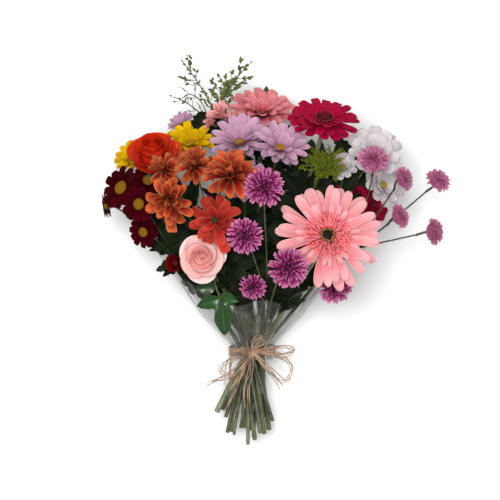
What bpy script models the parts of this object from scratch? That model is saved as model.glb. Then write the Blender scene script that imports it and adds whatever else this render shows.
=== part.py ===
"""Mixed flower bouquet: a hand-tied bunch in a cone of clear film, bound with raffia.

The bunch lies on its back, heads towards +Y and cut stem ends towards -Y, with +Z up.
Its origin is on the floor, in the middle of the flat stretch of film that it rests on.
Layout sizes are in millimetres from the point on the floor under the binding.
"""

import math
import random

import bmesh
import bpy
import numpy as np
from mathutils import Matrix, Quaternion, Vector
from mathutils.bvhtree import BVHTree

MM = 0.001
REST_FROM_TIE = 115.0  # how far the middle of the resting face lies from the binding
TIE_HEIGHT = 40.0  # height of the binding's middle over the floor
BUNCH_RADIUS = 17.0  # round the bare stems, where they are bound
HEART = Vector((10.0, 110.0, 62.0))  # the heads face away from this point
GAP = 0.3  # between touching pieces
SEAT_GAP = 0.7  # between a head and the end of its stem, which may be askew

STEM_GREEN = (0.11, 0.17, 0.045)
LEAF_GREEN = (0.035, 0.11, 0.025)


# ---------------------------------------------------------------- scene and meshes

def clear_scene():
    for obj in list(bpy.data.objects):
        bpy.data.objects.remove(obj)


def material(name, colour, roughness, alpha=1.0):
    made = bpy.data.materials.get(name)
    if made:
        return made
    made = bpy.data.materials.new(name)
    made.use_nodes = True
    surface = made.node_tree.nodes["Principled BSDF"]
    surface.inputs["Base Color"].default_value = (*colour, 1.0)
    surface.inputs["Roughness"].default_value = roughness
    surface.inputs["Metallic"].default_value = 0.0
    surface.inputs["Alpha"].default_value = alpha
    return made


class Skin:
    """Points, in millimetres, and the triangles between them."""

    def __init__(self):
        self.points = []
        self.triangles = []

    def point(self, place):
        self.points.append(Vector(place))
        return len(self.points) - 1

    def triangle(self, *corners):
        self.triangles.append(corners)

    def fan(self, hub, rim):
        for near, far in zip(rim, rim[1:]):
            self.triangle(hub, near, far)

    def mesh(self, name):
        made = bpy.data.meshes.new(name)
        made.from_pydata([p * MM for p in self.points], [], self.triangles)
        shell = bmesh.new()
        shell.from_mesh(made)
        bmesh.ops.recalc_face_normals(shell, faces=shell.faces)
        if shell.calc_volume(signed=True) < 0:
            bmesh.ops.reverse_faces(shell, faces=shell.faces)
        shell.to_mesh(made)
        shell.free()
        return made


def placed(name, mesh, matrix=None, finish=None):
    obj = bpy.data.objects.new(name, mesh)
    bunch.objects.link(obj)
    obj.parent = bunch_origin
    if matrix is not None:
        obj.matrix_local = matrix
    if finish:
        mesh.materials.clear()
        mesh.materials.append(finish)
    return obj


def fused(name, pieces, finish):
    """One closed body of all the pieces, which it takes the place of."""
    first, others = pieces[0], pieces[1:]
    if others:
        group = bpy.data.collections.new(name + "_pieces")
        for piece in others:
            group.objects.link(piece)
        union = first.modifiers.new("union", "BOOLEAN")
        union.operation = "UNION"
        union.solver = "MANIFOLD"
        union.operand_type = "COLLECTION"
        union.collection = group
        bpy.context.view_layer.update()
        graph = bpy.context.evaluated_depsgraph_get()
        joined = bpy.data.meshes.new_from_object(first.evaluated_get(graph))
        first.modifiers.clear()
        first.data = joined
        for piece in others:
            bpy.data.objects.remove(piece)
        bpy.data.collections.remove(group)
    first.name = name
    first.data.name = name
    first.data.materials.clear()
    first.data.materials.append(finish)
    return first


def tube(name, points, radii, sides=6, finish=None):
    """A round rod through the points, as a mesh. The sides are 4, 6, 8 and so on."""
    curve = bpy.data.curves.new(name, "CURVE")
    curve.dimensions = "3D"
    curve.bevel_depth = MM
    curve.bevel_resolution = (sides - 4) // 2
    curve.use_fill_caps = True
    spline = curve.splines.new("POLY")
    spline.points.add(len(points) - 1)
    for knot, place, radius in zip(spline.points, points, radii):
        knot.co = (*(Vector(place) * MM), 1.0)
        knot.radius = radius
    guide = bpy.data.objects.new(name + "_guide", curve)
    bunch.objects.link(guide)
    bpy.context.view_layer.update()
    graph = bpy.context.evaluated_depsgraph_get()
    mesh = bpy.data.meshes.new_from_object(guide.evaluated_get(graph))
    bpy.data.objects.remove(guide)
    shell = bmesh.new()
    shell.from_mesh(mesh)
    bmesh.ops.remove_doubles(shell, verts=shell.verts, dist=1e-6)
    bmesh.ops.recalc_face_normals(shell, faces=shell.faces)
    shell.to_mesh(mesh)
    shell.free()
    return placed(name, mesh, finish=finish)


# ---------------------------------------------------------------- petals and leaves

def petal_star(radius, petals, hub, width, high, low, core, calyx, seed,
               stations=(0.62,), thick=1.0, arch=0.0, short=0.9):
    """Long petals round a hub, every other one raised, each as thin as a blade at its rim.

    hub, width, high, low, core, calyx, arch and short are shares of the radius.
    """
    draw = random.Random(seed)
    skin = Skin()
    above = skin.point((0, 0, core * radius))
    below = skin.point((0, 0, -calyx * radius))
    step = math.tau / petals
    inner = hub * radius
    notches = [
        skin.point((inner * math.cos((i - 0.5) * step), inner * math.sin((i - 0.5) * step), 0))
        for i in range(petals)
    ]
    for i in range(petals):
        angle = i * step + draw.uniform(-0.1, 0.1) * step
        out = Vector((math.cos(angle), math.sin(angle), 0))
        side = Vector((-out.y, out.x, 0))
        raised = i % 2 == 0
        length = radius * (short if raised else 1.0) * draw.uniform(0.94, 1.0)
        rise = radius * (high if raised else low) + radius * draw.uniform(-0.03, 0.03)
        roll = draw.uniform(-0.12, 0.12)
        left, right = notches[i], notches[(i + 1) % petals]
        root = out * inner
        top = skin.point(root + Vector((0, 0, thick / 2)))
        bottom = skin.point(root - Vector((0, 0, thick / 2)))
        skin.fan(above, [left, top, right])
        skin.fan(below, [right, bottom, left])
        for share in stations:
            reach = inner + (length - inner) * share
            height = rise * share + arch * radius * math.sin(math.pi * share)
            middle = out * reach + Vector((0, 0, height))
            half = width * radius * math.sin(math.pi * (0.25 + 0.45 * share))
            tilt = side * half + Vector((0, 0, roll * half))
            new_left, new_right = skin.point(middle - tilt), skin.point(middle + tilt)
            new_top = skin.point(middle + Vector((0, 0, thick / 2)))
            new_bottom = skin.point(middle - Vector((0, 0, thick / 2)))
            for ridge, new_ridge in ((top, new_top), (bottom, new_bottom)):
                skin.triangle(left, ridge, new_ridge)
                skin.triangle(left, new_ridge, new_left)
                skin.triangle(right, new_ridge, ridge)
                skin.triangle(right, new_right, new_ridge)
            left, right, top, bottom = new_left, new_right, new_top, new_bottom
        tip = skin.point(out * length + Vector((0, 0, rise)))
        for ridge in (top, bottom):
            skin.triangle(left, ridge, tip)
            skin.triangle(right, tip, ridge)
    return skin


def blade(skin, route, sides, ups, halves, thick=0.9):
    """A leaf or a petal along a route: a root, stations with their half widths, and a tip."""
    root = skin.point(route[0])
    tip = skin.point(route[-1])
    last = None
    for middle, side, up, half in zip(route[1:-1], sides[1:-1], ups[1:-1], halves[1:-1]):
        station = [
            skin.point(middle - side * half),
            skin.point(middle + up * thick / 2),
            skin.point(middle + side * half),
            skin.point(middle - up * thick / 2),
        ]
        for k in range(4):
            here, beyond = station[k], station[(k + 1) % 4]
            if last is None:
                skin.triangle(root, here, beyond)
            elif k in (0, 3):
                edge, ridge = (0, 1) if k == 0 else (0, 3)
                skin.triangle(last[edge], last[ridge], station[ridge])
                skin.triangle(last[edge], station[ridge], station[edge])
            else:
                edge, ridge = (2, 1) if k == 1 else (2, 3)
                skin.triangle(last[edge], last[ridge], station[ridge])
                skin.triangle(last[edge], station[ridge], station[edge])
        last = station
    for k in range(4):
        skin.triangle(last[k], last[(k + 1) % 4], tip)


def leaf_skin(foot, tip, width, up, droop=0.12, fold=0.25, waves=1, stations=3):
    """A leaf from its foot to its tip, keeled along the middle rib and arched along its length."""
    foot, tip, up = Vector(foot), Vector(tip), Vector(up).normalized()
    along = tip - foot
    side = along.cross(up).normalized()
    up = side.cross(along).normalized()
    route, halves = [], []
    count = stations + 1
    for k in range(count + 1):
        share = k / count
        arch = up * (along.length * droop * math.sin(math.pi * share))
        route.append(foot + along * share + arch)
        wave = 1.0 if k % 2 or waves == 1 else 0.86
        halves.append(0.5 * width * wave * math.sin(math.pi * share ** 0.8))
    skin = Skin()
    blade(skin, route, [side] * len(route), [up] * len(route), halves)
    for k, place in enumerate(skin.points):
        off = abs((place - foot).dot(side))
        skin.points[k] = place + up * off * fold
    return skin


def pompon(radius, rings, segments, flat, spike, calyx):
    """A dome covered in short quilled petals, over a shallow cup of bracts."""
    skin = Skin()
    top = skin.point((0, 0, radius * flat * 1.02))
    rows = []
    for ring in range(1, rings + 1):
        polar = math.radians(105) * ring / rings
        row = []
        for k in range(segments):
            angle = math.tau * (k + 0.5 * (ring % 2)) / segments
            out = 1.0 + (spike if (k + ring) % 2 == 0 else -spike)
            reach = radius * out * math.sin(polar)
            height = radius * flat * out * math.cos(polar)
            row.append(skin.point((reach * math.cos(angle), reach * math.sin(angle), height)))
        rows.append(row)
    bottom = skin.point((0, 0, -radius * calyx))
    skin.fan(top, rows[0] + rows[0][:1])
    for upper, lower in zip(rows, rows[1:]):
        shift = rows.index(upper) % 2 == 0
        for k in range(segments):
            a, b = upper[k], upper[(k + 1) % segments]
            c, d = lower[k], lower[(k + 1) % segments]
            if shift:
                skin.triangle(a, c, d)
                skin.triangle(a, d, b)
            else:
                skin.triangle(a, c, b)
                skin.triangle(b, c, d)
    skin.fan(bottom, rows[-1] + rows[-1][:1])
    return skin


def rose_petal(angle, span, foot, waist, rim, height, lip, thick=0.9):
    """One cupped petal: it climbs from foot to rim, and its lip turns out by the given share."""
    skin = Skin()
    across, along = 4, 4
    profile = [(foot, 0.0), (waist, 0.32 * height), (rim, 0.78 * height), (rim + lip, height)]
    rows = []
    for v, (reach, level) in enumerate(profile):
        row = []
        for u in range(across):
            turn = 2.0 * u / (across - 1) - 1.0
            narrow = (0.35, 1.0, 1.0, 0.62)[v]
            bearing = angle + turn * span * narrow
            out = reach * (1.0 + 0.09 * turn)
            row.append(Vector((out * math.cos(bearing), out * math.sin(bearing),
                               level - 0.1 * height * abs(turn) ** 2 * (v > 1))))
        rows.append(row)
    faces = []
    for side in (1, -1):
        grid = []
        for v, row in enumerate(rows):
            line = []
            for u, place in enumerate(row):
                edge = v in (0, along - 1) or u in (0, across - 1)
                if edge and side < 0:
                    line.append(faces[v][u])
                    continue
                out = Vector((place.x, place.y, -0.3 * height)).normalized()
                offset = Vector((0, 0, 0)) if edge else out * (side * thick / 2)
                line.append(skin.point(place + offset))
            grid.append(line)
        if side > 0:
            faces = grid
        for v in range(along - 1):
            for u in range(across - 1):
                a, b = grid[v][u], grid[v][u + 1]
                c, d = grid[v + 1][u], grid[v + 1][u + 1]
                skin.triangle(a, b, d)
                skin.triangle(a, d, c)
    return skin


# ---------------------------------------------------------------- the heads

# Shares of each head's radius, apart from the counts.
STARS = {
    "gerbera": dict(petals=30, hub=0.2, width=0.095, high=0.17, low=0.03, core=0.0,
                    calyx=0.2, stations=(0.35, 0.8), short=0.92),
    "gerbera_tipped": dict(petals=22, hub=0.24, width=0.12, high=0.22, low=0.04, core=0.12,
                           calyx=0.3),
    "gerbera_double": dict(petals=18, hub=0.22, width=0.15, high=0.6, low=0.3, core=0.14,
                           calyx=0.3, short=0.75),
    "lilac": dict(petals=14, hub=0.2, width=0.165, high=0.62, low=0.4, core=0.1, calyx=0.3,
                  short=0.85),
    "bronze": dict(petals=14, hub=0.2, width=0.18, high=0.7, low=0.3, core=0.1, calyx=0.35,
                   arch=0.05, short=0.8),
    "burgundy": dict(petals=12, hub=0.3, width=0.19, high=0.24, low=0.02, core=0.17,
                     calyx=0.3, short=0.92),
    "yellow": dict(petals=13, hub=0.26, width=0.19, high=0.6, low=0.36, core=0.15, calyx=0.3),
    "white": dict(petals=13, hub=0.25, width=0.18, high=0.45, low=0.22, core=0.14, calyx=0.3),
    "crimson": dict(petals=12, hub=0.24, width=0.18, high=0.3, low=0.06, core=0.14, calyx=0.3),
    "alstroemeria": dict(petals=6, hub=0.22, width=0.28, high=0.75, low=0.5, core=0.05,
                         calyx=0.7, arch=0.12, stations=(0.35, 0.75)),
}

# name: kind, place over the binding's floor point, radius, where it faces (None: off the heart)
HEADS = {
    "santini_front_3": ("santini", (35, 85, 204), 20, (0.2, -0.1, 0.97)),
    "santini_front_1": ("santini", (12, 163, 186), 20, (0.05, 0.15, 0.98)),
    "santini_front_2": ("santini", (-7, 116, 182), 18, (-0.1, 0.0, 1.0)),
    "bronze_1": ("bronze", (-21, 174, 170), 26, (0.0, 0.45, 0.89)),
    "bronze_2": ("bronze", (-36, 131, 160), 25, (-0.1, 0.15, 0.98)),
    "gerbera_pink": ("gerbera", (74, 115, 166), 55, (0.05, 0.33, 0.94)),
    "rose_pink": ("rose", (-49, 92, 148), 22, (-0.05, 0.15, 0.98)),
    "lilac_2": ("lilac", (27, 201, 156), 31, (0.2, 0.62, 0.76)),
    "lilac_1": ("lilac", (-12, 206, 158), 34, (-0.1, 0.7, 0.7)),
    "bronze_3": ("bronze", (-80, 151, 156), 24, (-0.3, -0.15, 0.94)),
    "santini_front_4": ("santini", (1, 66, 158), 13.5, (-0.1, -0.4, 0.9)),
    "bronze_4": ("bronze", (-56, 184, 150), 19, (-0.1, 0.4, 0.9)),
    "bronze_5": ("bronze", (-86, 180, 144), 17, (-0.3, 0.4, 0.87)),
    "gerbera_crimson": ("gerbera_tipped", (71, 230, 148), 36, (0.1, 0.8, 0.57)),
    "burgundy_1": ("burgundy", (-111, 147, 144), 20, (-0.4, 0.1, 0.9)),
    "rose_orange": ("rose", (-97, 188, 119), 25, (-0.1, 0.72, 0.69)),
    "burgundy_4": ("burgundy", (-103, 171, 134), 20, (-0.1, 0.4, 0.9)),
    "yellow_1": ("yellow", (-61, 207, 112), 27, (-0.1, 0.7, 0.7)),
    "gerbera_coral": ("gerbera_double", (9, 236, 112), 36, (0.1, 0.76, 0.64)),
    "lilac_3": ("lilac", (-6, 170, 130), 24, (0.0, 0.2, 0.98)),
    "side_1": ("santini", (119, 190, 160), 15, (0.1, 0.6, 0.78)),
    "side_2": ("santini", (149, 172, 138), 11.8, (0.8, 0.25, 0.5)),
    "side_3": ("santini", (145, 135, 130), 12, (0.8, 0.3, 0.5)),
    "side_4": ("santini", (184, 170, 126), 12.5, (0.45, 0.6, 0.65)),
    "side_5": ("santini", (179, 120, 122), 13, (0.9, 0.05, 0.45)),
    "white_1": ("white", (121, 198, 132), 30, (0.2, 0.5, 0.84)),
    "white_2": ("white", (90, 184, 130), 17, (-0.1, 0.5, 0.85)),
    "white_3": ("white", (130, 166, 102), 24, (0.5, 0.3, 0.8)),
    "crimson_1": ("crimson", (121, 147, 103), 19, (0.6, 0.25, 0.75)),
    "crimson_2": ("crimson", (106, 158, 94), 14, (0.2, 0.4, 0.87)),
    "crimson_3": ("crimson", (79, 168, 104), 14, (0.0, 0.5, 0.86)),
    "burgundy_2": ("burgundy", (-129, 163, 122), 24, (-0.6, 0.35, 0.7)),
    "burgundy_3": ("burgundy", (-107, 120, 130), 17, (-0.5, -0.2, 0.85)),
    "burgundy_6": ("burgundy", (-114, 160, 99), 12, (-0.3, 0.6, 0.7)),
    "alstroemeria": ("alstroemeria", (-31, 238, 116), 17, (-0.3, 0.7, 0.65)),
    "santini_front_5": ("santini", (82, 66, 134), 18, (0.3, -0.5, 0.8)),
    "burgundy_5": ("burgundy", (-144, 147, 106), 14, (-0.95, -0.1, 0.3)),
    "yellow_2": ("yellow", (-119, 194, 92), 21, (-0.5, 0.55, 0.66)),
    "lilac_4": ("lilac", (-70, 228, 86), 16, (-0.4, 0.7, 0.6)),
    "rose_red": ("rose", (-74, 89, 118), 10, (-0.4, 0.0, 0.9)),
}

CLEAR_STEP = 1.5  # how far a head sinks at a time, until it is clear of those in front
SINK_LIMIT = 60


def head_skin(kind, radius, seed):
    if kind == "santini":
        rings, segments = (5, 12) if radius > 16 else (4, 10)
        return pompon(radius, rings, segments, flat=0.62, spike=0.07, calyx=0.5)
    return petal_star(radius, seed=seed, **STARS[kind])


# Each whorl of a rose: petals, and foot, waist, rim, height and lip as shares of the radius.
ROSE_MIDDLE = (3, 0.055, 0.62, 0.58, 1.45, 0.08)
ROSE_OUTER = (4, 0.06, 0.84, 0.86, 1.15, 0.2)
ROSE_WHORLS = {
    "rose_pink": (ROSE_MIDDLE, ROSE_OUTER),
    "rose_orange": (ROSE_MIDDLE, ROSE_OUTER),
    "rose_red": (ROSE_OUTER,),
}


def rose_head(name, radius, finish):
    """A half-open rose: a core bud with cupped petals round it, each whorl wider than the last."""
    whorls = ROSE_WHORLS[name]
    bud = bmesh.new()
    bmesh.ops.create_uvsphere(bud, u_segments=7, v_segments=5, radius=radius * 0.26 * MM)
    for vert in bud.verts:
        vert.co.z = vert.co.z * 2.2 + radius * 0.5 * MM
    mesh = bpy.data.meshes.new(name)
    bud.to_mesh(mesh)
    bud.free()
    pieces = [placed(name, mesh)]
    for ring, (count, foot, waist, rim, height, lip) in enumerate(whorls):
        for k in range(count):
            angle = math.tau * (k + 0.5 * ring) / count + 0.4 * ring
            span = math.pi / count * 1.12
            petal = rose_petal(angle, span, foot * radius, waist * radius, rim * radius,
                               height * radius, lip * radius)
            pieces.append(placed(f"{name}_petal", petal.mesh(f"{name}_petal")))
    return fused(name, pieces, finish)


def facing(place, towards):
    way = Vector(towards) if towards else Vector(place) - HEART
    return way.normalized()


def pose(place, towards, spin):
    """The matrix that sets a head, made facing +Z, at its place."""
    turn = towards.to_track_quat("Z", "Y") @ Quaternion((0, 0, 1), spin)
    return Matrix.Translation(Vector(place) * MM) @ turn.to_matrix().to_4x4()


def tree_of(obj, matrix):
    points = [matrix @ v.co for v in obj.data.vertices]
    return BVHTree.FromPolygons(points, [p.vertices[:] for p in obj.data.polygons])


COLOURS = {
    "gerbera": (0.86, 0.32, 0.36), "gerbera_tipped": (0.22, 0.003, 0.02),
    "gerbera_double": (0.6, 0.1, 0.14), "lilac": (0.5, 0.27, 0.48),
    "bronze": (0.42, 0.08, 0.03), "burgundy": (0.08, 0.003, 0.006),
    "yellow": (0.62, 0.36, 0.01), "white": (0.72, 0.68, 0.68),
    "crimson": (0.2, 0.003, 0.02), "alstroemeria": (0.75, 0.45, 0.48),
    "santini": (0.32, 0.06, 0.2), "rose": (0.8, 0.5, 0.48),
}
ROSE_COLOURS = {"rose_orange": (0.55, 0.04, 0.01), "rose_red": (0.3, 0.01, 0.01)}


def make_heads():
    """Every head at its place. One that meets those made before it sinks until it is clear."""
    trees, seats = [], {}
    for seed, (name, (kind, place, radius, towards)) in enumerate(HEADS.items()):
        colour = ROSE_COLOURS.get(name, COLOURS[kind])
        finish = material(name if kind == "rose" else kind, colour, 0.6)
        if kind == "rose":
            obj = rose_head(name, radius, finish)
            foot = 0.07 * radius
        else:
            skin = head_skin(kind, radius, seed)
            obj = placed(name, skin.mesh(name), finish=finish)
            foot = -min(p.z for p in skin.points)
        way = facing(place, towards)
        sink = 0.0
        while sink < SINK_LIMIT:
            spot = Vector(place) - Vector((0, 0, sink))
            nearer = tree_of(obj, pose(spot + Vector((0, 0, GAP)), way, seed * 0.7))
            if not any(nearer.overlap(tree) for tree in trees):
                break
            sink += CLEAR_STEP
        if sink:
            spot -= Vector((0, 0, GAP))
        matrix = pose(spot, way, seed * 0.7)
        obj.matrix_local = matrix
        trees.append(tree_of(obj, matrix))
        seats[name] = (spot, way, radius, foot)
    return seats


def gerbera_disc(seats):
    """The dark eye of the pink gerbera, in a ring of short inner florets, on the petals' hub."""
    spot, way, radius, _ = seats["gerbera_pink"]
    skin = petal_star(0.38 * radius, petals=14, hub=0.42, width=0.17, high=0.45, low=0.25,
                      core=0.2, calyx=0.02, seed=5)
    matrix = pose(spot + way * 1.6, way, 0.2)
    placed("gerbera_pink_disc", skin.mesh("gerbera_pink_disc"), matrix,
           material("gerbera_disc", (0.5, 0.06, 0.09), 0.7))


# ---------------------------------------------------------------- the stems

STEM_TWIST = 27.0  # distance along the axis in which a stem moves sideways by its own radius
STEM_FLATTEN = 0.4  # how much lower than wide the splayed ends are
STEM_LEAN = 0.16  # the cut ends lean to the left of the heads
SLOT_TURN = math.radians(-50)  # a stem crosses the binding this far round from its head
END_SPAN = (-66.0, -96.0)  # where the stems are cut
SHORT_SPAN = (-58.0, -68.0)  # where those that splay furthest to the left are cut
SHORT_BEYOND = -26.0
ROUTE_STEP = 6.0
STEM_KNOTS, FORK_KNOTS, GREEN_KNOTS = 17, 20, 26  # how far apart the corners of each are
CLEARANCE = 0.9
ROOM_TURNS = 200
NEIGHBOUR = 26.0  # stems further apart than this don't act on each other

# name: stem radius, sides, how far up it forks, and the heads that it carries
STEMS = {
    "gerbera_pink_stem": (3.4, 6, None, ["gerbera_pink"]),
    "gerbera_crimson_stem": (3.2, 6, None, ["gerbera_crimson"]),
    "gerbera_coral_stem": (3.2, 6, None, ["gerbera_coral"]),
    "rose_pink_stem": (2.9, 6, None, ["rose_pink"]),
    "rose_orange_stem": (2.7, 6, None, ["rose_orange"]),
    "rose_red_stem": (2.2, 6, None, ["rose_red"]),
    "lilac_stem": (2.4, 6, 0.5, ["lilac_1", "lilac_2", "lilac_3", "lilac_4"]),
    "bronze_stem": (2.7, 6, 0.5, ["bronze_1", "bronze_2", "bronze_3", "bronze_4", "bronze_5"]),
    "burgundy_stem": (2.6, 6, 0.6, ["burgundy_1", "burgundy_2", "burgundy_3", "burgundy_4",
                                    "burgundy_5", "burgundy_6"]),
    "crimson_stem": (2.3, 6, 0.5, ["crimson_1", "crimson_2", "crimson_3"]),
    "santini_stem": (2.5, 6, 0.4, ["santini_front_1", "santini_front_2", "santini_front_3",
                                   "santini_front_4", "santini_front_5"]),
    "white_stem": (2.4, 6, 0.7, ["white_1", "white_2", "white_3"]),
    "yellow_stem": (2.4, 6, 0.7, ["yellow_1", "yellow_2"]),
    "alstroemeria_stem": (2.3, 6, None, ["alstroemeria"]),
    "santini_side_spray": (2.2, 6, 0.62, ["side_1", "side_2", "side_3", "side_4", "side_5"]),
}
FORK_RADIUS = 1.3
ONE_BODY = ("alstroemeria_stem", "rose_red_stem", "santini_side_spray")  # heads and stem together
SUNK = 4.0  # how far such a stem runs into its head


def hermite(start, start_way, end, end_way, steps):
    """A smooth curve between two points with the given directions and lengths there."""
    route = []
    for k in range(steps + 1):
        t = k / steps
        route.append(start * (2 * t**3 - 3 * t**2 + 1) + start_way * (t**3 - 2 * t**2 + t)
                     + end * (3 * t**2 - 2 * t**3) + end_way * (t**3 - t**2))
    return route


def packed_slots(aims, radii):
    """Where each stem crosses the binding: on the side of its head, turned, and none overlapping."""
    slots = np.array(aims, float)
    slots *= 0.75 * BUNCH_RADIUS / np.abs(slots).max()
    turn = np.array([[math.cos(SLOT_TURN), -math.sin(SLOT_TURN)],
                     [math.sin(SLOT_TURN), math.cos(SLOT_TURN)]])
    slots = slots @ turn.T
    radii = np.array(radii)
    reach = BUNCH_RADIUS - radii
    for _ in range(600):
        slots *= 0.997
        for i in range(len(slots)):
            away = slots[i] - slots
            apart = np.hypot(*away.T) + 1e-6
            lack = radii[i] + radii + 0.5 - apart
            lack[i] = 0.0
            push = (away / apart[:, None]) * np.clip(lack, 0, None)[:, None]
            slots[i] += 0.3 * push.sum(axis=0)
            out = math.hypot(*slots[i])
            if out > reach[i]:
                slots[i] *= reach[i] / out
    return slots


def below_binding(slot, level):
    """A straight stem under the binding: all of them twist round the bunch alike."""
    turn = level / STEM_TWIST
    x = slot[0] - turn * slot[1] + STEM_LEAN * level
    z = (slot[1] + turn * slot[0]) * (1 - STEM_FLATTEN * abs(level) / 90)
    return Vector((x, level, TIE_HEIGHT + z))


def cut_end(slot, draw):
    """Where a stem ends. Those that splay far to the left are cut shorter."""
    end = below_binding(slot, draw.uniform(*END_SPAN))
    if end.x < SHORT_BEYOND:
        end = below_binding(slot, draw.uniform(*SHORT_SPAN))
    return end


def steps_for(distance):
    return max(4, round(distance / ROUTE_STEP))


def stem_routes(seats, slots):
    """The main stem of each plant from its cut end up, and the forks to its heads."""
    draw = random.Random(11)
    routes = []
    for (name, (radius, sides, fork, heads)), slot in zip(STEMS.items(), slots):
        end = cut_end(slot, draw)
        start = below_binding(slot, 0.0)
        start_way = (start - end).normalized()
        seat_ends = []
        for head in heads:
            spot, way, _, foot = seats[head]
            sunk = SUNK if name in ONE_BODY else -SEAT_GAP
            seat_ends.append((spot - way * (foot - sunk), way))
        if fork is None:
            goal, goal_way = seat_ends[0]
        else:
            mean = sum((seat for seat, _ in seat_ends), Vector()) / len(seat_ends)
            goal = start.lerp(mean, fork)
            goal_way = (mean - start).normalized()
        distance = (goal - start).length
        upper = hermite(start, start_way * distance * 0.8, goal, goal_way * distance * 0.7,
                        steps_for(distance))
        routes.append(dict(plant=name, radius=radius, sides=sides, main=True,
                           lower=[end], points=upper, heads=heads if not fork else []))
        if fork is None:
            continue
        for head, (seat, way) in zip(heads, seat_ends):
            distance = (seat - goal).length
            twig = hermite(goal, goal_way * distance * 0.6, seat, way * distance * 0.8,
                           steps_for(distance))
            routes.append(dict(plant=name, radius=FORK_RADIUS, sides=4, main=False, lower=[],
                               points=twig, heads=[head]))
    return routes


def head_obstacles(seats):
    """Balls that fill the space of each head, with the head's name."""
    balls = []
    for name, (spot, way, radius, foot) in seats.items():
        side = way.orthogonal().normalized()
        other = way.cross(side)
        ball = max(2.5, radius * 0.16)
        balls.append((spot, ball + 1.0, name))
        for share, count in ((0.36, 6), (0.68, 11), (0.92, 16)):
            for k in range(count):
                turn = math.tau * k / count
                out = side * math.cos(turn) + other * math.sin(turn)
                balls.append((spot + out * (radius * share) + way * (radius * 0.12 * share), ball,
                              name))
    return balls


def make_room(routes, fixed, balls):
    """Moves the stems apart, and clear of the fixed stems, heads and leaves, by small steps."""
    place, size, owner, free, home = [], [], [], [], []
    for route in routes + fixed:
        count = len(route["points"])
        for k, point in enumerate(route["points"]):
            place.append(tuple(point))
            size.append(route["radius"])
            owner.append(route["plant"])
            near_tie = route["main"] and k < 2
            free.append(route in routes and 0 < k < count - 1 and not near_tie)
            home.append(route["heads"][0] if route["heads"] and k > count - 4 else "")
    for centre, radius, name in balls:
        place.append(tuple(centre))
        size.append(radius)
        owner.append(name)
        free.append(False)
        home.append("")
    place, size, owner, free = map(np.array, (place, size, owner, free))
    others = (owner[:, None] != owner[None, :]) & (np.array(home)[:, None] != owner[None, :])
    inner = np.flatnonzero(free)
    for turn in range(ROOM_TURNS):
        if turn % 20 == 0:
            away = place[inner, None, :] - place[None, :, :]
            near = (np.abs(away).max(axis=2) < NEIGHBOUR) & others[inner]
            one, two = np.nonzero(near)
            one = inner[one]
            wanted = size[one] + size[two] + CLEARANCE
        away = place[one] - place[two]
        apart = np.sqrt((away**2).sum(axis=1)) + 1e-6
        lack = np.clip(wanted - apart, 0, None)
        push = np.zeros_like(place)
        np.add.at(push, one, away / apart[:, None] * lack[:, None] * 0.35)
        place += np.clip(push, -3, 3)
        middle = 0.5 * (place[inner - 1] + place[inner + 1])
        place[inner] += 0.22 * (middle - place[inner])
        place[inner] = inside_film(place[inner], size[inner])
    start = 0
    for route in routes:
        count = len(route["points"])
        route["points"] = [Vector(p) for p in place[start:start + count]]
        start += count


def every_few(points, spacing):
    """Points of a route about this far apart, its ends among them."""
    count = max(2, round(len(points) * ROUTE_STEP / spacing))
    return [points[round(k * (len(points) - 1) / count)] for k in range(count + 1)]


def make_stems(routes):
    for name in STEMS:
        finish = material("stem", STEM_GREEN, 0.55)
        pieces = []
        for route in (r for r in routes if r["plant"] == name):
            points = route["lower"] + every_few(route["points"], STEM_KNOTS if route["main"] else FORK_KNOTS)
            radius = route["radius"]
            if route["main"]:
                radii = [radius * (1.0 - 0.25 * k / (len(points) - 1)) for k in range(len(points))]
            else:
                start = points[0] - (points[1] - points[0]).normalized() * 2.0
                points = [start] + points[1:]
                radii = [radius] * len(points)
            pieces.append(tube(name, points, radii, route["sides"]))
        if name in ONE_BODY:
            heads = [bunch.objects[head] for head in STEMS[name][3]]
            finish = heads[0].data.materials[0]
            pieces += heads
        fused(name, pieces, finish)


# ---------------------------------------------------------------- the film

FILM = 0.7
FILM_NECK = BUNCH_RADIUS + 2.7 + FILM  # outer radius where it is gathered
NECK_HALF = 4.5  # half the length of the straight neck
FILM_BOTTOM = -9.0
FILM_FLARE, FILM_WIDEN = 1.0, 0.62  # how fast it widens to each side, near the neck and past it
FLARE_END = 30.0
FILM_RISE = 1.25  # how fast its front rises
FLOOR_FROM = 45.0  # its back lies on the floor from here on
BELOW_FLOOR = 7.0  # how far the back's curve would dip under the floor, which flattens it
FRONT_RIM, BACK_RIM = 50.0, 195.0
RIGHT_DIP = 32.0  # how much lower the rim is at the right
RIM_SLANT = 1.5  # how sharply the rim rises to its highest point, at the back
RIM_WAVE, RIM_WAVES = 4.0, 5
CREASE, CREASES = 0.07, 9  # depth of the folds per 100 mm from the binding, and their number
FILM_AROUND = 26


def film_section(level):
    """Half the width, and the lowest and highest point, of the film's cross-section."""
    past = max(0.0, abs(level) - NECK_HALF)
    if level < 0:
        out = FILM_NECK + 0.35 * past
        return out, TIE_HEIGHT - out, TIE_HEIGHT + out
    share = min(1.0, past / (FLOOR_FROM - NECK_HALF))
    low = (TIE_HEIGHT - FILM_NECK) * (1 - share) - BELOW_FLOOR * share
    half = FILM_NECK + FILM_FLARE * min(past, FLARE_END) + FILM_WIDEN * max(0.0, past - FLARE_END)
    high = TIE_HEIGHT + FILM_NECK + FILM_RISE * min(past, 60)
    return half, low, high


def film_point(turn, level, crease):
    """A point of the outer surface: turn is 0 at the back and half a circle at the front."""
    half, low, high = film_section(level)
    middle, tall = (low + high) / 2, (high - low) / 2
    wave = 1.0 + crease * (0.5 + 0.5 * math.sin(CREASES * turn + 0.02 * level))
    x = half * wave * math.sin(turn)
    z = middle - tall * wave * math.cos(turn)
    return Vector((x, level, max(0.0, z)))


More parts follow.
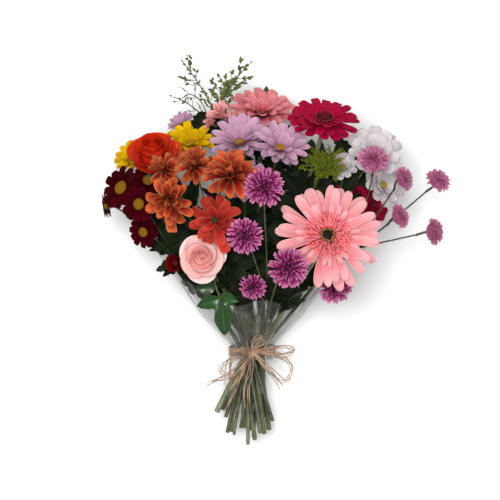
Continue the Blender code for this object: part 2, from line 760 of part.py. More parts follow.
def film_rim(turn):
    """The level of the rim, which is highest at the back."""
    back = (0.5 + 0.5 * math.cos(turn)) ** RIM_SLANT
    rim = FRONT_RIM + (BACK_RIM - FRONT_RIM) * back + RIM_WAVE * math.sin(RIM_WAVES * turn)
    return rim - RIGHT_DIP * max(0.0, math.sin(turn)) ** 2


def inside_film(places, sizes):
    """Brings stem points that would pierce the film, or the floor, back inside."""
    for k, (x, level, z) in enumerate(places):
        if -NECK_HALF < level < 112:
            half, low, high = film_section(level)
            middle, tall = (low + high) / 2, (high - low) / 2
            margin = sizes[k] + FILM + 1.0
            out = math.hypot(x / (half - margin), (z - middle) / (tall - margin))
            above = z > middle and level > FRONT_RIM - 4
            if out > 1.0 and not above:
                x, z = x / out, middle + (z - middle) / out
            elif above and abs(x) > half - margin and level < 100:
                x = math.copysign(half - margin, x)
        z = max(z, sizes[k] + FILM + 0.8)
        places[k] = (x, level, z)
    return places


def make_film():
    sheet = bmesh.new()
    lines = []
    for k in range(FILM_AROUND):
        turn = math.tau * k / FILM_AROUND - math.pi
        rim = film_rim(turn)
        first = min(FLOOR_FROM, (rim + NECK_HALF) / 2)
        line = []
        for level in (FILM_BOTTOM, -NECK_HALF, NECK_HALF, first, (rim + first) / 2, rim):
            crease = CREASE * max(0.0, level - NECK_HALF) / 100
            line.append(sheet.verts.new(film_point(turn, level, crease) * MM))
        lines.append(line)
    for line, following in zip(lines, lines[1:] + lines[:1]):
        for k in range(len(line) - 1):
            sheet.faces.new((line[k], following[k], following[k + 1]))
            sheet.faces.new((line[k], following[k + 1], line[k + 1]))
    bmesh.ops.recalc_face_normals(sheet, faces=sheet.faces)
    sheet.faces.ensure_lookup_table()
    outwards = sheet.faces[0].calc_center_median() - Vector((0, 0, TIE_HEIGHT * MM))
    if sheet.faces[0].normal.dot(outwards) < 0:
        bmesh.ops.reverse_faces(sheet, faces=sheet.faces)
    mesh = bpy.data.meshes.new("film_wrapper")
    sheet.to_mesh(mesh)
    sheet.free()
    film = placed("film_wrapper", mesh, finish=material("film", (0.8, 0.84, 0.84), 0.15, 0.25))
    wall = film.modifiers.new("wall", "SOLIDIFY")
    wall.thickness = FILM * MM
    wall.offset = -1.0


# ---------------------------------------------------------------- the raffia

WRAP = 1.7  # half thickness of one turn of the binding
RING_SIDES = 18
KNOT = 5.0
KNOT_MIDDLE = Vector((0, 0, TIE_HEIGHT + FILM_NECK + KNOT + 0.4))
BOW_MIDDLE = KNOT_MIDDLE + Vector((0, 0, KNOT + 3.4))
STRAND = 0.9

# Each loop and tail of the bow: the points that it passes after the bow's middle, from there.
LOOPS = {
    "loop_right_high": [(20, 4, 3), (36, 5, -3), (43, 1, -10), (32, -5, -6), (13, -3, 1)],
    "loop_right_low": [(14, -4, 4), (30, -8, 1), (40, -19, -8), (33, -34, -10), (20, -24, -2)],
    "loop_top": [(3, 9, 4), (10, 16, 6), (13, 11, 5)],
    "loop_left": [(-12, 3, 3), (-22, -3, -3), (-27, -20, -10), (-24, -38, -10), (-13, -24, -1)],
    "loop_left_small": [(-18, -6, 4), (-32, -12, -4), (-37, -20, -10), (-29, -24, -6), (-13, -10, 3)],
}
TAILS = {
    "tail_left": [(-10, -16, 4), (-22, -26, 2), (-34, -28, -6), (-45, -34, -14)],
    "tail_middle": [(-3, -20, 5), (-8, -40, 8), (-7, -58, 8)],
    "tail_low": [(-9, -20, 6), (-18, -42, 6), (-24, -58, 6)],
    "tail_right": [(14, -16, 5), (24, -27, 2), (31, -36, -4)],
}


def smooth_route(points, steps):
    """A smooth curve through the points, so many steps between each pair."""
    points = [Vector(p) for p in points]
    knots = [2 * points[0] - points[1], *points, 2 * points[-1] - points[-2]]
    route = []
    for before, start, end, after in zip(knots, knots[1:], knots[2:], knots[3:]):
        part = hermite(start, (end - before) / 2, end, (after - start) / 2, steps)
        route += part[:-1]
    return route + [points[-1]]


def make_raffia():
    finish = material("raffia", (0.5, 0.33, 0.2), 0.8)
    pieces = []
    major = FILM_NECK + 0.8 + WRAP
    for level in (-1.4 * WRAP, 1.4 * WRAP):
        ring = bmesh.new()
        rims = []
        for k in range(RING_SIDES):
            turn = math.tau * k / RING_SIDES
            out = Vector((math.cos(turn), 0, math.sin(turn)))
            rims.append([
                ring.verts.new((out * (major + WRAP * a) + Vector((0, level + WRAP * b, TIE_HEIGHT))) * MM)
                for a, b in ((1, 0), (0, 1), (-0.8, 0), (0, -1))
            ])
        for k in range(RING_SIDES):
            here, beyond = rims[k], rims[(k + 1) % RING_SIDES]
            for j in range(4):
                ring.faces.new((here[j], here[(j + 1) % 4], beyond[(j + 1) % 4], beyond[j]))
        bmesh.ops.recalc_face_normals(ring, faces=ring.faces)
        mesh = bpy.data.meshes.new("raffia_binding")
        ring.to_mesh(mesh)
        ring.free()
        pieces.append(placed("raffia_binding", mesh))
    knot = bmesh.new()
    bmesh.ops.create_icosphere(knot, subdivisions=1, radius=KNOT * MM)
    bmesh.ops.translate(knot, verts=knot.verts, vec=KNOT_MIDDLE * MM)
    mesh = bpy.data.meshes.new("raffia_knot")
    knot.to_mesh(mesh)
    knot.free()
    pieces.append(placed("raffia_knot", mesh))
    fused("raffia_binding", pieces, finish)

    pieces = []
    hub = bmesh.new()
    bmesh.ops.create_icosphere(hub, subdivisions=1, radius=4.2 * MM)
    bmesh.ops.scale(hub, verts=hub.verts, vec=(1, 1, 0.7))
    bmesh.ops.translate(hub, verts=hub.verts, vec=BOW_MIDDLE * MM)
    mesh = bpy.data.meshes.new("raffia_bow")
    hub.to_mesh(mesh)
    hub.free()
    pieces.append(placed("raffia_bow", mesh))
    for name, points in {**LOOPS, **TAILS}.items():
        ends = [(0, 0, 0), *points, (0, 0, 0)] if name in LOOPS else [(0, 0, 0), *points]
        route = smooth_route([BOW_MIDDLE + Vector(p) for p in ends], 2)
        pieces.append(tube(name, route, [STRAND] * len(route), 4))
    fused("raffia_bow", pieces, finish)


# ---------------------------------------------------------------- foliage and fillers

# name: stem radius, whether make_room may move it, the points that it passes after the binding
GREENERY = {
    "foliage_left": (2.0, False, [(-20, 55, 22), (-46, 105, 26), (-68, 150, 40)]),
    "foliage_back": (2.0, False, [(-14, 55, 12), (4, 120, 12), (8, 190, 18), (12, 236, 34)]),
    "foliage_right": (2.0, False, [(22, 55, 20), (48, 100, 24), (80, 146, 42)]),
    "leaf_collar": (1.9, True, [(10, 30, 60), (21, 52, 74), (32, 72, 88)]),
    "goldenrod": (2.1, True, [(34, 90, 75), (52, 150, 108), (72, 184, 136)]),
    "sprigs": (1.8, True, [(-8, 90, 50), (-22, 170, 58), (-32, 222, 78)]),
}

# foliage: leaf length and width, how many pairs, and where along the stem they start
LEAFY = {
    "foliage_left": (40, 14, 4, 0.42),
    "foliage_back": (46, 17, 5, 0.42),
    "foliage_right": (36, 11, 5, 0.38),
}

# the collar's leaves: foot on its stem (share of the way), tip, width
COLLAR_LEAVES = (
    (0.5, (-16, 62, 92), 15), (0.6, (54, 52, 90), 14), (0.8, (9, 88, 104), 14),
)

ROSE_RACHIS = ((-38, 76, 118), (-36, 66, 119.5), (-32, 55, 118), (-30, 48, 115))
ROSE_LEAFLETS = (  # foot, tip, width
    ((-30, 49, 115), (-27, 17, 94), 18),
    ((-32, 54, 118), (-55, 46, 111), 14),
    ((-32, 56, 118), (-13, 51, 124), 13),
    ((-36, 66, 119.5), (-57, 63, 120), 13),
)

GOLDENROD_TWIGS = 6
SPRIG_TWIGS = (
    ((-39, 244, 86), (-53, 268, 92), (-68, 289, 92)),
    ((-32, 248, 84), (-19, 270, 90), (-3, 288, 90)),
    ((-50, 238, 82), (-66, 250, 84), (-79, 256, 80)),
)


def bud(foot, tip, half):
    """A small closed bud or leaflet: a point at each end and a square waist."""
    foot, tip = Vector(foot), Vector(tip)
    along = (tip - foot).normalized()
    side = along.orthogonal().normalized() * half
    other = along.cross(side)
    waist = foot.lerp(tip, 0.5)
    skin = Skin()
    ends = [skin.point(foot), skin.point(tip)]
    ring = [skin.point(waist + out) for out in (side, other, -side, -other)]
    for k in range(4):
        for end in ends:
            skin.triangle(end, ring[k], ring[(k + 1) % 4])
    return skin


def green_route(name, slot):
    """The whole route of a green plant: cut end, middle, binding, and the points past it."""
    draw = random.Random(name)
    end = cut_end(slot, draw)
    start = below_binding(slot, 0.0)
    points = [start] + [Vector(p) for p in GREENERY[name][2]]
    steps = steps_for(sum((b - a).length for a, b in zip(points, points[1:])) / len(points))
    return [end], smooth_route(points, steps)


def part_way(route, share):
    """The point this share of the way along a route, and the direction there."""
    at = min(share * (len(route) - 1), len(route) - 1.001)
    start, end = route[int(at)], route[int(at) + 1]
    return start.lerp(end, at % 1.0), (end - start).normalized()


def leaves_along(name, route):
    """Opposite leaves on a foliage stem, lying flat and pointing forwards, and one at its tip."""
    length, width, pairs, start = LEAFY[name]
    leaves = []
    for k in range(pairs):
        foot, ahead = part_way(route, start + (0.97 - start) * k / (pairs - 1))
        side = ahead.cross(Vector((0, 0, 1))).normalized()
        long = length * (1.0 - 0.25 * k / pairs)
        for hand in (-1, 1):
            way = (ahead * 0.75 + side * hand * 0.8 + Vector((0, 0, 0.1))).normalized()
            leaves.append((foot, foot + way * long, width))
    tip, ahead = part_way(route, 0.99)
    leaves.append((tip, tip + ahead * length * 0.8, width))
    return leaves


def collar_leaves(route):
    return [(part_way(every_few(route, GREEN_KNOTS), share)[0], Vector(tip), width)
            for share, tip, width in COLLAR_LEAVES]


def leaf_balls(leaves):
    balls = []
    for foot, tip, width in leaves:
        foot, tip = Vector(foot), Vector(tip)
        for share in (0.25, 0.45, 0.65, 0.85):
            balls.append((foot.lerp(tip, share), 0.32 * width, "leaf"))
    return balls


def make_greenery(name, lower, route, leaves):
    """A foliage stem with its leaves, fused."""
    points = lower + route
    radius = GREENERY[name][0]
    radii = [radius * (1 - 0.5 * k / (len(points) - 1)) for k in range(len(points))]
    pieces = [tube(name, points, radii, 4)]
    for foot, tip, width in leaves:
        skin = leaf_skin(foot, tip, width, (0, 0, 1))
        pieces.append(placed(name + "_leaf", skin.mesh(name + "_leaf")))
    fused(name, pieces, material("foliage", LEAF_GREEN, 0.5))


def make_rose_leaves():
    pieces = [tube("rose_leaves", ROSE_RACHIS, [1.0] * len(ROSE_RACHIS), 4)]
    for foot, tip, width in ROSE_LEAFLETS:
        foot, tip = Vector(foot), Vector(tip)
        foot -= (tip - foot).normalized() * 0.6
        skin = leaf_skin(foot, tip, width, (0, -0.2, 1), droop=0.08, waves=2, stations=5)
        pieces.append(placed("rose_leaflet", skin.mesh("rose_leaflet")))
    fused("rose_leaves", pieces, material("rose_leaf", (0.05, 0.2, 0.035), 0.45))


def make_goldenrod(lower, route):
    """A plume of short twigs set with small green buds."""
    draw = random.Random(3)
    points = lower + every_few(route, GREEN_KNOTS)
    radii = [2.1 * (1 - 0.5 * k / (len(points) - 1)) for k in range(len(points))]
    pieces = [tube("goldenrod", points, radii, 6)]
    top = route[-1]
    for k in range(GOLDENROD_TWIGS):
        turn = math.tau * k / GOLDENROD_TWIGS
        foot = top - Vector((0, 8, 9)) * (0.3 * (k % 3))
        reach = draw.uniform(15, 21) if k % 2 else draw.uniform(8, 12)
        tip = top + Vector((math.cos(turn) * reach, 3 + math.sin(turn) * reach * 0.75,
                            draw.uniform(14, 20) - 0.2 * reach))
        twig = [foot, foot.lerp(tip, 0.55) + Vector((0, 0, 2)), tip]
        pieces.append(tube("goldenrod_twig", twig, [0.9, 0.8, 0.6], 4))
        for share in (0.6, 1.0):
            base = foot.lerp(tip, share)
            way = Vector((draw.uniform(-1, 1), draw.uniform(-1, 1), 1.2)).normalized()
            skin = bud(base - way * 1.5, base + way * 5.0, 2.2)
            pieces.append(placed("goldenrod_bud", skin.mesh("goldenrod_bud")))
    fused("goldenrod", pieces, material("goldenrod", (0.2, 0.2, 0.03), 0.7))


def make_sprigs(lower, route):
    """Wispy green twigs with small leaflets, that rise over the top of the bunch."""
    points = lower + every_few(route, GREEN_KNOTS)
    radii = [1.8 * (1 - 0.5 * k / (len(points) - 1)) for k in range(len(points))]
    pieces = [tube("sprigs", points, radii, 6)]
    for twig in SPRIG_TWIGS:
        path = smooth_route([route[-2], *twig], 2)
        pieces.append(tube("sprig", path, [0.8] * len(path), 4))
        for k in range(2, len(path), 2):
            place = path[k]
            ahead = (path[k] - path[k - 1]).normalized()
            for hand in (-1, 1) if k < len(path) - 1 else (0,):
                side = ahead.cross(Vector((0, 0, 1))).normalized()
                way = (ahead + side * hand * 0.9).normalized()
                skin = bud(place - way * 0.8, place + way * 7.0, 1.3)
                pieces.append(placed("sprig_leaflet", skin.mesh("sprig_leaflet")))
    fused("sprigs", pieces, material("sprig", (0.15, 0.2, 0.04), 0.6))


# ---------------------------------------------------------------- the whole bunch

clear_scene()
bunch = bpy.data.collections.new("mixed_flower_bouquet")
bpy.context.scene.collection.children.link(bunch)
bunch_origin = bpy.data.objects.new("binding_point", None)
bunch_origin.location.y = -REST_FROM_TIE * MM
bunch.objects.link(bunch_origin)

head_seats = make_heads()
gerbera_disc(head_seats)

aims, stem_radii = [], []
for plant_radius, _, _, carried in STEMS.values():
    mean = sum((head_seats[h][0] for h in carried), Vector()) / len(carried)
    aims.append((mean.x / (mean.y + 30), (mean.z - TIE_HEIGHT) / (mean.y + 30)))
    stem_radii.append(plant_radius)
for plant_radius, _, passed in GREENERY.values():
    goal = Vector(passed[-1])
    aims.append((goal.x / (goal.y + 30), (goal.z - TIE_HEIGHT) / (goal.y + 30)))
    stem_radii.append(plant_radius)
all_slots = packed_slots(aims, stem_radii)

all_routes = stem_routes(head_seats, all_slots)
green, green_routes, leaves_of = {}, [], {}
obstacles = head_obstacles(head_seats) + leaf_balls(ROSE_LEAFLETS)
for green_name, green_slot in zip(GREENERY, all_slots[len(STEMS):]):
    green_lower, green_upper = green_route(green_name, green_slot)
    green[green_name] = (green_lower, green_upper)
    if green_name in LEAFY:
        leaves_of[green_name] = leaves_along(green_name, every_few(green_upper, GREEN_KNOTS))
    if green_name == "leaf_collar":
        leaves_of[green_name] = collar_leaves(green_upper)
    obstacles += leaf_balls(leaves_of.get(green_name, []))
    green_routes.append(dict(plant=green_name, radius=GREENERY[green_name][0], main=True,
                             points=green_upper, heads=[]))
movable = [r for r in green_routes if GREENERY[r["plant"]][1]]
pinned = [r for r in green_routes if not GREENERY[r["plant"]][1]]
make_room(all_routes + movable, pinned, obstacles)
make_stems(all_routes)

upper_of = {route["plant"]: route["points"] for route in green_routes}
leaves_of["leaf_collar"] = collar_leaves(upper_of["leaf_collar"])
for green_name, green_leaves in leaves_of.items():
    make_greenery(green_name, green[green_name][0], every_few(upper_of[green_name], 26),
                  green_leaves)
make_rose_leaves()
make_goldenrod(green["goldenrod"][0], upper_of["goldenrod"])
make_sprigs(green["sprigs"][0], upper_of["sprigs"])
make_film()
make_raffia()
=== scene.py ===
"""Mixed flower bouquet, dressed: petals, leaves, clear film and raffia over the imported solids."""

import math
import random

import bmesh
import bpy
import numpy as np
from mathutils import Matrix, Vector, noise


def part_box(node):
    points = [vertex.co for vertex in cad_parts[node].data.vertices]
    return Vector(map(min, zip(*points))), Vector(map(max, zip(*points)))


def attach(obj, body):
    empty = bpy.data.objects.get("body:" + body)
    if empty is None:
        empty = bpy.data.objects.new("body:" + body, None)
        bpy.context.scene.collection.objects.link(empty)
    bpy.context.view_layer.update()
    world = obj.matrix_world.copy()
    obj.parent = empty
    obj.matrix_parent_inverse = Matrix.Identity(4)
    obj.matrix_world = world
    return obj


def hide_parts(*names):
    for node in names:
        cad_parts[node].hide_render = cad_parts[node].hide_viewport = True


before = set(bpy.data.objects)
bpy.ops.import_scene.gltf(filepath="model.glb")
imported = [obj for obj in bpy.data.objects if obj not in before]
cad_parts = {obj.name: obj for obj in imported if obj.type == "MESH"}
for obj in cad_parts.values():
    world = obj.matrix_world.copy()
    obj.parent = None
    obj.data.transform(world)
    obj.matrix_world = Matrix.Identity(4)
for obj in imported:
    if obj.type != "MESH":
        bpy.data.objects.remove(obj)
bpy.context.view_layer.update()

# ---------------------------------------------------------------- floor, light and camera
# The bunch lies on its back on a plain pale floor. The camera looks straight down on it
# from high above through a long lens, and two broad soft lamps stand beside it.

MM = 0.001
FLOOR_HALF = 4.0
FLOOR_WHITE = (0.97, 0.97, 0.97, 1)
EYE_HEIGHT = 3.9
SEEN_WIDTH = 0.5  # width of the view at the height of the heads
HEADS_LEVEL = 0.1

scene = bpy.context.scene
scene.view_settings.view_transform = "Standard"

floor_mesh = bpy.data.meshes.new("floor")
floor_mesh.from_pydata(
    [(x * FLOOR_HALF, y * FLOOR_HALF, -0.0002) for x, y in ((-1, -1), (1, -1), (1, 1), (-1, 1))],
    [], [(0, 1, 2, 3)])
floor = bpy.data.objects.new("floor", floor_mesh)
scene.collection.objects.link(floor)
floor_finish = bpy.data.materials.new("floor_paint")
floor_finish.use_nodes = True
paint = floor_finish.node_tree.nodes["Principled BSDF"]
paint.inputs["Base Color"].default_value = FLOOR_WHITE
paint.inputs["Roughness"].default_value = 0.9
paint.inputs["Specular IOR Level"].default_value = 0.1
floor_mesh.materials.append(floor_finish)

sky = bpy.data.worlds.new("studio")
sky.use_nodes = True
sky.node_tree.nodes["Background"].inputs["Color"].default_value = (1, 1, 1, 1)
sky.node_tree.nodes["Background"].inputs["Strength"].default_value = 0.4
scene.world = sky

# name: where it stands, its width, its power; each is turned to the middle of the bunch
LAMPS = {
    "lamp_key": ((-0.4, 0.4, 4.2), 1.4, 142.0),
    "lamp_fill": ((0.5, -0.3, 4.2), 1.6, 34.0),
}
for lamp_name, (stand, size, power) in LAMPS.items():
    lamp = bpy.data.lights.new(lamp_name, "AREA")
    lamp.size = size
    lamp.energy = power
    holder = bpy.data.objects.new(lamp_name, lamp)
    holder.location = stand
    holder.rotation_euler = (-Vector(stand)).to_track_quat("-Z", "Y").to_euler()
    scene.collection.objects.link(holder)

eye = bpy.data.objects.new("camera", bpy.data.cameras.new("camera"))
eye.data.lens = eye.data.sensor_width * (EYE_HEIGHT - HEADS_LEVEL) / SEEN_WIDTH
eye.data.clip_end = 20.0
eye.location = (-0.002, -0.013, EYE_HEIGHT)
scene.collection.objects.link(eye)
scene.camera = eye

# ---------------------------------------------------------------- raffia binding and bow
# Strips of dried palm leaf, tied round film and stems in ten turns and knotted in front. Narrow
# loops and loose tails spring from the knot, four flat limp strips to each.

RAFFIA_WIDTHS = (0.7, 1.2)  # millimetres
RAFFIA_THICK = 0.5
RAFFIA_SPREAD = 4.0  # how far the strips of one loop keep from each other
RAFFIA_STRAY = 1.5  # how far a strip strays along its way
KNOT_STRAY = 1.5  # how far from the knot's middle it starts and ends
RAFFIA_STRIPS = 4  # in each loop or tail
BINDING_TURNS = 10
BINDING_HALF = 5.2  # half the width of the bound band
KNOT_RADIUS = 5.0
KNOT_WADS = 9

tie_low, tie_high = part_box("raffia_binding")
WRAP_RADIUS = (tie_high.x - tie_low.x) / 2 / MM  # over the binding
TIE_HEIGHT = tie_low.z / MM + WRAP_RADIUS
TIE_Y = (tie_low.y + tie_high.y) / 2 / MM
NECK_RADIUS = WRAP_RADIUS - 4.2  # of the film where it is gathered
KNOT_TOP = TIE_HEIGHT + NECK_RADIUS + KNOT_RADIUS + 0.4


def at(x, y, z):
    """A point given in millimetres from the floor under the binding."""
    return Vector((x * MM, (TIE_Y + y) * MM, z * MM))


# ------ marked grids, from which every leaf, petal and strip is made


class Growth:
    """Grids of points that grow into one mesh. Each point is marked along, across and by tone."""

    def __init__(self):
        self.places, self.marks, self.faces, self.finishes = [], [], [], []
        self.count = 0

    def grid(self, places, along, across, tone=0.5, finish=0, closed=False):
        """places is rows by columns by 3. A closed grid joins its last column to its first."""
        rows, columns = places.shape[:2]
        marks = np.empty((rows, columns, 3))
        marks[..., 0] = np.asarray(along)[:, None]
        marks[..., 1] = np.asarray(across)[None, :]
        marks[..., 2] = tone
        index = self.count + np.arange(rows * columns).reshape(rows, columns)
        beyond = np.roll(index, -1, axis=1) if closed else index[:, 1:]
        here = index if closed else index[:, :-1]
        quads = np.stack([here[:-1], beyond[:-1], beyond[1:], here[1:]], axis=-1)
        self.places.append(places.reshape(-1, 3))
        self.marks.append(marks.reshape(-1, 3))
        self.faces.append(quads.reshape(-1, 4))
        self.finishes.append(np.full(quads.shape[0] * quads.shape[1], finish))
        self.count += rows * columns

    def rounded(self, rings, tone=0.5, finish=0, along=(0, 1)):
        """A tube or a ball: rings of points, marked from the first to the last and once round."""
        rows, columns = rings.shape[:2]
        self.grid(rings, np.linspace(*along, rows), np.linspace(-1, 1, columns), tone, finish,
                  closed=True)

    def mesh(self, name, finishes, matrix=None):
        """The piece that has grown, in metres, brought to its place by the matrix."""
        places = np.concatenate(self.places)
        faces = np.concatenate(self.faces)
        mesh = bpy.data.meshes.new(name)
        mesh.vertices.add(len(places))
        mesh.loops.add(faces.size)
        mesh.polygons.add(len(faces))
        mesh.vertices.foreach_set("co", (places * MM).astype(np.float32).ravel())
        mesh.loops.foreach_set("vertex_index", faces.astype(np.int32).ravel())
        mesh.polygons.foreach_set("loop_start", np.arange(0, faces.size, 4, dtype=np.int32))
        mesh.polygons.foreach_set("material_index",
                                  np.concatenate(self.finishes).astype(np.int32))
        mesh.polygons.foreach_set("use_smooth", np.ones(len(faces), dtype=bool))
        marks = np.concatenate(self.marks)
        for column, mark in enumerate(("along", "across", "tone")):
            values = mesh.attributes.new(mark, "FLOAT", "POINT")
            values.data.foreach_set("value", marks[:, column].astype(np.float32))
        mesh.update(calc_edges=True)
        mesh.transform(matrix or Matrix.Translation(at(0, 0, 0)))
        for finish in finishes:
            mesh.materials.append(finish.made)
        obj = bpy.data.objects.new(name, mesh)
        scene.collection.objects.link(obj)
        return obj


def tube(route, radii, sides=6, flat=1.0):
    """Rings of points along a route, in millimetres, with radii that may differ."""
    route = np.asarray(route, dtype=float)
    ways = np.gradient(route, axis=0)
    ways /= np.linalg.norm(ways, axis=1)[:, None]
    radii = np.broadcast_to(radii, len(route))
    side = np.cross(ways[0], (0.3, 0.2, 1.0))
    angles = np.linspace(0, math.tau, sides, endpoint=False)
    rings = []
    for place, way, radius in zip(route, ways, radii):
        side = side - way * side.dot(way)
        side /= np.linalg.norm(side)
        other = np.cross(way, side)
        ring = np.outer(np.cos(angles), side) + flat * np.outer(np.sin(angles), other)
        rings.append(place + radius * ring)
    return np.array(rings)


def smooth_route(points, steps):
    """A smooth curve through the points, so many steps between each pair."""
    points = [np.asarray(point, dtype=float) for point in points]
    knots = [2 * points[0] - points[1], *points, 2 * points[-1] - points[-2]]
    route = []
    for before, start, end, after in zip(knots, knots[1:], knots[2:], knots[3:]):
        for share in np.arange(steps) / steps:
            square, cube = share ** 2, share ** 3
            route.append(0.5 * (2 * start + (end - before) * share
                                + (2 * before - 5 * start + 4 * end - after) * square
                                + (3 * start - before - 3 * end + after) * cube))
    return np.array(route + [points[-1]])


def sphere(middle, radius, tall=1.0, rings=8, sides=12):
    """A closed ball round a point, stretched along Z."""
    polar = np.linspace(0, math.pi, rings + 1)
    turn = np.linspace(0, math.tau, sides, endpoint=False)
    places = np.empty((rings + 1, sides, 3))
    places[..., 0] = np.outer(np.sin(polar), np.cos(turn))
    places[..., 1] = np.outer(np.sin(polar), np.sin(turn))
    places[..., 2] = np.cos(polar)[:, None] * tall
    return np.asarray(middle) + radius * places


class Tint:
    """An output of a material's nodes, on which sums are written as they are on paper."""

    def __init__(self, tree, socket):
        self.tree = tree
        self.socket = socket

    @classmethod
    def of(cls, tree, kind, inputs=None, output=0, **settings):
        """One output of a new node: its settings first, then the values or links it takes."""
        node = tree.nodes.new(kind)
        for setting, value in settings.items():
            setattr(node, setting, value)
        for key, value in (inputs or {}).items():
            if isinstance(value, Tint):
                tree.links.new(value.socket, node.inputs[key])
            else:
                node.inputs[key].default_value = value
        return cls(tree, node.outputs[output])

    def sum(self, operation, first, second=0.0, third=0.0):
        values = {0: first, 1: second, 2: third}
        return Tint.of(self.tree, "ShaderNodeMath", values, operation=operation)

    def __add__(self, other):
        return self.sum("ADD", self, other)

    def __sub__(self, other):
        return self.sum("SUBTRACT", self, other)

    def __rsub__(self, other):
        return self.sum("SUBTRACT", other, self)

    def __mul__(self, other):
        return self.sum("MULTIPLY", self, other)

    def __pow__(self, other):
        return self.sum("POWER", self, other)

    __radd__ = __add__
    __rmul__ = __mul__

    def sine(self):
        return self.sum("SINE", self)

    def size(self):
        return self.sum("ABSOLUTE", self)

    def or_more(self, other):
        return self.sum("MAXIMUM", self, other)

    def clipped(self):
        return Tint.of(self.tree, "ShaderNodeClamp", {0: self})

    def between(self, low, high):
        """0 at low, 1 at high, and a smooth step in between."""
        return Tint.of(self.tree, "ShaderNodeMapRange", {0: self, 1: low, 2: high},
                       interpolation_type="SMOOTHSTEP")

    def blend(self, low, high):
        """From one colour to another as this goes from 0 to 1."""
        return Tint.of(self.tree, "ShaderNodeMix", {0: self, 6: low, 7: high}, output=2,
                       data_type="RGBA")

    def scaled(self, factor):
        """This colour or vector times a number."""
        return Tint.of(self.tree, "ShaderNodeVectorMath", {0: self, 3: factor},
                       operation="SCALE")

    def stretched(self, x, y, z):
        """This place, each way in its own measure."""
        return Tint.of(self.tree, "ShaderNodeVectorMath", {0: self, 1: (x, y, z)},
                       operation="MULTIPLY")

    def grain(self, scale, detail=2.0, rough=0.5):
        """Soft noise from 0 to 1 at this place."""
        return Tint.of(self.tree, "ShaderNodeTexNoise",
                       {"Vector": self, "Scale": scale, "Detail": detail, "Roughness": rough})


class Finish:
    """A material: its surface shader, and where its nodes read from."""

    def __init__(self, name, **fixed):
        self.made = bpy.data.materials.new(name)
        self.made.use_nodes = True
        self.tree = self.made.node_tree
        self.surface = self.tree.nodes["Principled BSDF"]
        for socket, value in fixed.items():
            self.surface.inputs[socket.replace("_", " ")].default_value = value

    def mark(self, name):
        """What Growth marked on the mesh under this name."""
        return Tint.of(self.tree, "ShaderNodeAttribute", output="Fac", attribute_name=name)

    def place(self):
        return Tint.of(self.tree, "ShaderNodeTexCoord", output="Object")

    def marks(self):
        return self.mark("along"), self.mark("across"), self.mark("tone")

    def feed(self, socket, tint):
        self.tree.links.new(tint.socket, self.surface.inputs[socket])

    def relief(self, height, depth):
        bump = Tint.of(self.tree, "ShaderNodeBump",
                       {"Height": height, "Distance": depth, "Strength": 1.0})
        self.feed("Normal", bump)


def show(obj, node):
    """Puts a piece on the bunch in place of its solid."""
    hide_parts(node)
    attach(obj, "root")
    return obj


def tinted(red, green, blue):
    """A colour given from 0 to 255 in each channel."""
    levels = np.array((red, green, blue)) / 255.0
    return (*np.where(levels < 0.04045, levels / 12.92, ((levels + 0.055) / 1.055) ** 2.4), 1)


raffia_finish = Finish("raffia", Roughness=0.62, Specular_IOR_Level=0.3)
raffia_place = raffia_finish.place()
raffia_fibre = raffia_place.grain(1400, 3)
raffia_stain = raffia_place.grain(90, 2)
raffia_age = (raffia_fibre * 0.5 + raffia_stain * 0.9 - 0.2).between(0.1, 0.8)
raffia_finish.feed("Base Color", raffia_age.blend(tinted(100, 70, 46), tinted(204, 172, 142)))
raffia_finish.relief(raffia_fibre, 0.0003)

# The points that each loop and tail passes after the bow's middle, from there, in millimetres.
LOOPS = {
    "loop_right_high": [(20, 4, 3), (36, 5, -3), (43, 1, -10), (32, -5, -6), (13, -3, 1)],
    "loop_right_low": [(14, -4, 4), (30, -8, 1), (40, -19, -8), (33, -34, -10), (20, -24, -2)],
    "loop_top": [(3, 9, 4), (10, 16, 6), (13, 11, 5)],
    "loop_left": [(-12, 3, 3), (-22, -3, -3), (-27, -20, -10), (-24, -38, -10), (-13, -24, -1)],
    "loop_left_small": [(-18, -6, 4), (-32, -12, -4), (-37, -20, -10), (-29, -24, -6),
                        (-13, -10, 3)],
}
TAILS = {
    "tail_left": [(-10, -16, 4), (-22, -26, 2), (-34, -28, -6), (-45, -34, -14)],
    "tail_middle": [(-3, -20, 5), (-8, -40, 8), (-7, -58, 8)],
    "tail_low": [(-9, -20, 6), (-18, -42, 6), (-24, -58, 6)],
    "tail_right": [(14, -16, 5), (24, -27, 2), (31, -36, -4)],
}
BOW_MIDDLE = np.array((0, 0, KNOT_TOP + KNOT_RADIUS - 1.6))


def strayed(draw, reach):
    """A random step of up to this reach in each direction."""
    return np.array([draw.uniform(-reach, reach) for _ in range(3)])


